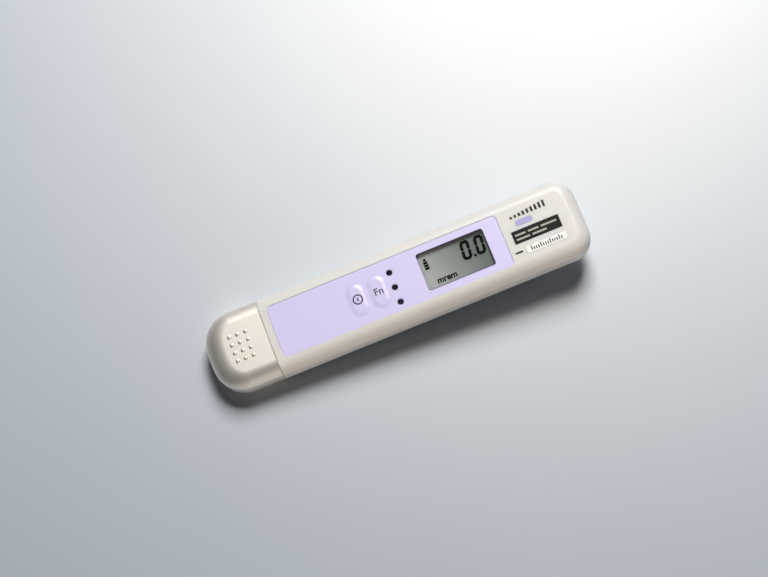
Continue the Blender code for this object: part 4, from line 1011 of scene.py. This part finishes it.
# Ticks stand 0.88 mm apart on one foot line, and each fourth is longer.
TICK_COUNT, TICK_FIRST, TICK_PITCH, TICK_WIDTH = 14, 50.6, 0.88, 0.4
TICK_FOOT, TICK_TOP, LONG_TICK_TOP = -7.6, -6.4, -5.8
tick_starts = [TICK_FIRST + i * TICK_PITCH for i in range(TICK_COUNT)]
ticks = [(x, TICK_FOOT, x + TICK_WIDTH, TICK_TOP if i % 4 else LONG_TICK_TOP)
         for i, x in enumerate(tick_starts)]
printed("label_ticks", ticks, bar_ink, OVERPRINT)

# Level bars stand 1.6 mm apart, and each is 0.2 mm taller than the one before.
LEVEL_COUNT, LEVEL_FIRST, LEVEL_PITCH, LEVEL_WIDTH = 9, 47.6, 1.6, 0.75
LEVEL_FOOT, LEVEL_TOP, LEVEL_STEP = 6.0, 6.9, 0.2
level_starts = [LEVEL_FIRST + i * LEVEL_PITCH for i in range(LEVEL_COUNT)]
bars = [(x, LEVEL_FOOT, x + LEVEL_WIDTH, LEVEL_TOP + i * LEVEL_STEP) for i, x in enumerate(level_starts)]
printed("level_bars", bars, bar_ink)
printed("small_dash", [(44.6, -6.9, 47.4, -6.3)], bar_ink)


# Battery tray and cell: a black moulded tray reaches from the case into the cap and holds a coin cell
# between two tinned contacts. It shows when the cap is pulled.

# Drawn stainless steel: a bright can with soft clouds from the press.
can_steel = mottled_finish("drawn_stainless_steel", 3, "C2C2BF", "D4D4D1", 0.2, 0.004, Metallic=1.0,
                           Roughness=0.25)
finish_nodes(black_resin, "battery_tray")
finish_nodes(can_steel, "battery_cell")


# Battery cap: a hollow ABS moulding under silver lacquer, pulled off along the case. Its flat top meets
# the rounded sides in a soft crease, and twelve small domes give the thumb its grip.

# Seal ring: moulded rubber, dark and dull with a fine bloom, stretched into the groove of the cap's lip.
rubber = mottled_finish("moulded_dark_rubber", 0.5, "1D1D1E", "29292A", 0.1, 0.01, Roughness=0.75)
finish_nodes(rubber, "cap_seal")

SEAM_GAP = 0.3 * MM
CAP_CORNER_RADIUS = 11.5 * MM
CAP_CROWN_RADIUS = 40.0 * MM
CAP_EDGE_RADIUS = 5.4 * MM
CAP_TOP_TRIM = 0.4 * MM
CAP_WALL = 1.9 * MM
LIP_ROOT = 2.0 * MM
LIP_WALL = 1.1 * MM
NUB_PITCH = 3.12 * MM
NUB_DIAMETER = 1.6 * MM
NUB_HEIGHT = 0.5 * MM
NUB_FROM_END = 13.2 * MM
NUB_SEGMENTS = 24
NUB_RINGS = 20
SEAL_FROM_SEAM = 1.1 * MM
SEAL_WIDTH = 1.2 * MM
SEAL_GROOVE_DEPTH = 0.6 * MM
RIM_REACH = 0.12 * MM
cap_stop = rear_low.x - SEAM_GAP
cap_top = front_high.z

CORNER_Y = rear_high.y - CAP_CORNER_RADIUS
END_LEAN = math.asin(CORNER_Y / (CAP_CROWN_RADIUS - CAP_CORNER_RADIUS))
CROWN_X = cap_low.x + CAP_CROWN_RADIUS
CORNER_X = CROWN_X - (CAP_CROWN_RADIUS - CAP_CORNER_RADIUS) * math.cos(END_LEAN)


def cap_block(inset, stop_x, low, high, rims):
    """The cap's plan raised into a solid with round rims: straight sides, two round corners, a bowed end."""
    half = rear_high.y - inset
    bm = bmesh.new()
    start = bm.verts.new((stop_x, half, low))
    shoulder = bm.verts.new((CORNER_X, half, low))
    end = bm.verts.new((stop_x, -half, low))
    bm.edges.new((start, shoulder))
    last = swing(bm, shoulder, (CORNER_X, CORNER_Y, low), math.pi / 2 - END_LEAN, CORNER_SEGMENTS)
    last = swing(bm, last, (CROWN_X, 0.0, low), 2 * END_LEAN, CORNER_SEGMENTS // 2)
    last = swing(bm, last, (CORNER_X, -CORNER_Y, low), math.pi / 2 - END_LEAN, CORNER_SEGMENTS)
    bm.edges.new((last, end))
    bm.edges.new((end, start))
    raise_outline(bm, high - low)
    for level, radius in rims:
        round_rim(bm, level, radius, stop_x)
    return bm


def mouth_bar(shrink, start_x, end_x):
    """A bar that fills the case's open mouth, made smaller all round by shrink."""
    half = rear_high.y - CASE_WALL - shrink
    low = rear_low.z + CASE_WALL + shrink
    high = cavity_roof - shrink
    bm = block((start_x, -half, low), (end_x, half, high))
    round_rim(bm, low, CAVITY_FLOOR_RADIUS - shrink, start_x, end_x)
    round_rim(bm, high, CAVITY_ROOF_RADIUS - shrink, start_x, end_x)
    return bm


CREASE_TILT = math.acos((CAP_EDGE_RADIUS - CAP_TOP_TRIM) / CAP_EDGE_RADIUS)
CREASE_INSET = CAP_EDGE_RADIUS * (1 - math.sin(CREASE_TILT))
SIDE_SOFTNESS = 2.4 * MM
END_SOFTNESS = 4.2 * MM
SOFT_STEPS = 10


def cap_skin_drop(inset, spot):
    """How far the soft crease sinks the cap's top, wider round the end than along the sides."""
    along = CORNER_X - spot.x
    from_corner = Vector((along, spot.y - max(-CORNER_Y, min(CORNER_Y, spot.y))))
    facing_end = max(along, 0.0) / from_corner.length if from_corner.length > SEAT else 0.0
    reach = SIDE_SOFTNESS + (END_SOFTNESS - SIDE_SOFTNESS) * facing_end
    at_crease = reach * math.tan(CREASE_TILT) / 2
    if inset > CREASE_INSET:
        return at_crease * max(1 - (inset - CREASE_INSET) / reach, 0.0) ** 2
    return at_crease * (1 - (1 - inset / CREASE_INSET) ** 4)


# The outer form grows from its plan: up from the lower rim, then inward ring by ring to the flat top.
# It is made longer than the cap and sawn off at the seam.
side_top = cap_top + CAP_TOP_TRIM - CAP_EDGE_RADIUS
sawn_off = cap_stop + CAP_CORNER_RADIUS
bm = cap_block(0.0, sawn_off, cap_low.z, side_top, [(cap_low.z, REAR_EDGE_RADIUS)])
crown = max(bm.faces, key=lambda face: face.calc_center_median().z)
tilt_step = (CREASE_TILT - math.pi / 2) / EDGE_SEGMENTS
tilts = [math.pi / 2 + tilt_step * i for i in range(1, EDGE_SEGMENTS + 1)]
rings = [(CAP_EDGE_RADIUS * (1 - math.sin(tilt)), side_top + CAP_EDGE_RADIUS * math.cos(tilt))
         for tilt in tilts]
rings += [(CREASE_INSET + END_SOFTNESS * i / SOFT_STEPS, cap_top) for i in range(1, SOFT_STEPS + 1)]
ring_of = bm.verts.layers.float.new("inset")
inset = 0.0
level = side_top
for ring_inset, ring_level in rings:
    bmesh.ops.inset_region(bm, faces=[crown], use_even_offset=True, thickness=ring_inset - inset,
                           depth=ring_level - level)
    inset = ring_inset
    level = ring_level
    for vert in crown.verts:
        vert[ring_of] = inset
for vert in bm.verts:
    if vert[ring_of] > 0.0:
        vert.co.z -= cap_skin_drop(vert[ring_of], vert.co)
bm.verts.layers.float.remove(ring_of)
mesh = to_mesh(bm)
mesh = carve(mesh, block((cap_stop + RIM_REACH, -rear_high.y - CAP_WALL, cap_low.z - CAP_WALL),
                         (sawn_off + CAP_WALL, rear_high.y + CAP_WALL, cap_top + CAP_WALL)))
ball_radius = ((NUB_DIAMETER / 2) ** 2 + NUB_HEIGHT ** 2) / (2 * NUB_HEIGHT)
nubs = []
for column in (-1, 0, 1):
    for row in (-1.5, -0.5, 0.5, 1.5):
        centre = (cap_low.x + NUB_FROM_END + column * NUB_PITCH, row * NUB_PITCH,
                  cap_top + NUB_HEIGHT - ball_radius)
        nub = bmesh.new()
        bmesh.ops.create_uvsphere(nub, u_segments=NUB_SEGMENTS, v_segments=NUB_RINGS,
                                  radius=ball_radius, matrix=Matrix.Translation(centre))
        nubs.append(nub)
mesh = carve(mesh, together(*nubs), "UNION")
hollow_top = cap_top - CAP_WALL
hollow_low = cap_low.z + CAP_WALL
hollow_rims = [(hollow_top, CAP_EDGE_RADIUS - CAP_WALL), (hollow_low, REAR_EDGE_RADIUS - CAP_WALL)]
mesh = carve(mesh, cap_block(CAP_WALL, cap_stop + CAP_WALL, hollow_low, hollow_top, hollow_rims))
mesh = carve(mesh, mouth_bar(FIT, cap_stop - LIP_ROOT, cap_high.x), "UNION")
mesh = carve(mesh, mouth_bar(FIT + LIP_WALL, cap_stop - 2 * LIP_ROOT, cap_high.x + LIP_ROOT))
seal_x = cap_stop + SEAL_FROM_SEAM
groove = to_mesh(mouth_bar(-CASE_WALL / 2, seal_x, seal_x + SEAL_WIDTH))
groove = carve(groove, mouth_bar(FIT + SEAL_GROOVE_DEPTH, cap_stop - LIP_ROOT, cap_high.x + LIP_ROOT))
tool = bmesh.new()
tool.from_mesh(groove)
mesh = carve(mesh, tool)

# Silver lacquer: fine aluminium flake in a clear binder, sprayed thin, with a soft satin gloss.
silver = mottled_finish("silver_flake_lacquer", 0.22, "FDF4E6", "FFFAEF", 0.14, 0.006, detail=2.0,
                        Metallic=0.9, Roughness=0.55, Coat_Weight=0.2, Coat_Roughness=0.25)
cap = made_piece("battery_cap_shell", dress(mesh), [silver], "battery_cap", ["battery_cap"])

# The studio's cap card lights the cap alone. Its fill passes over the floor and the cap, as a card held
# close to the case's near side does.
on_cap = bpy.data.collections.new("on_the_cap")
on_cap.objects.link(cap)
cap_card.light_linking.receiver_collection = on_cap
past_fill = bpy.data.collections.new("past_the_fill")
for unlit in (floor, cap):
    past_fill.objects.link(unlit)
for lit in past_fill.collection_objects:
    lit.light_linking.link_state = "EXCLUDE"
fill_card.light_linking.receiver_collection = past_fill
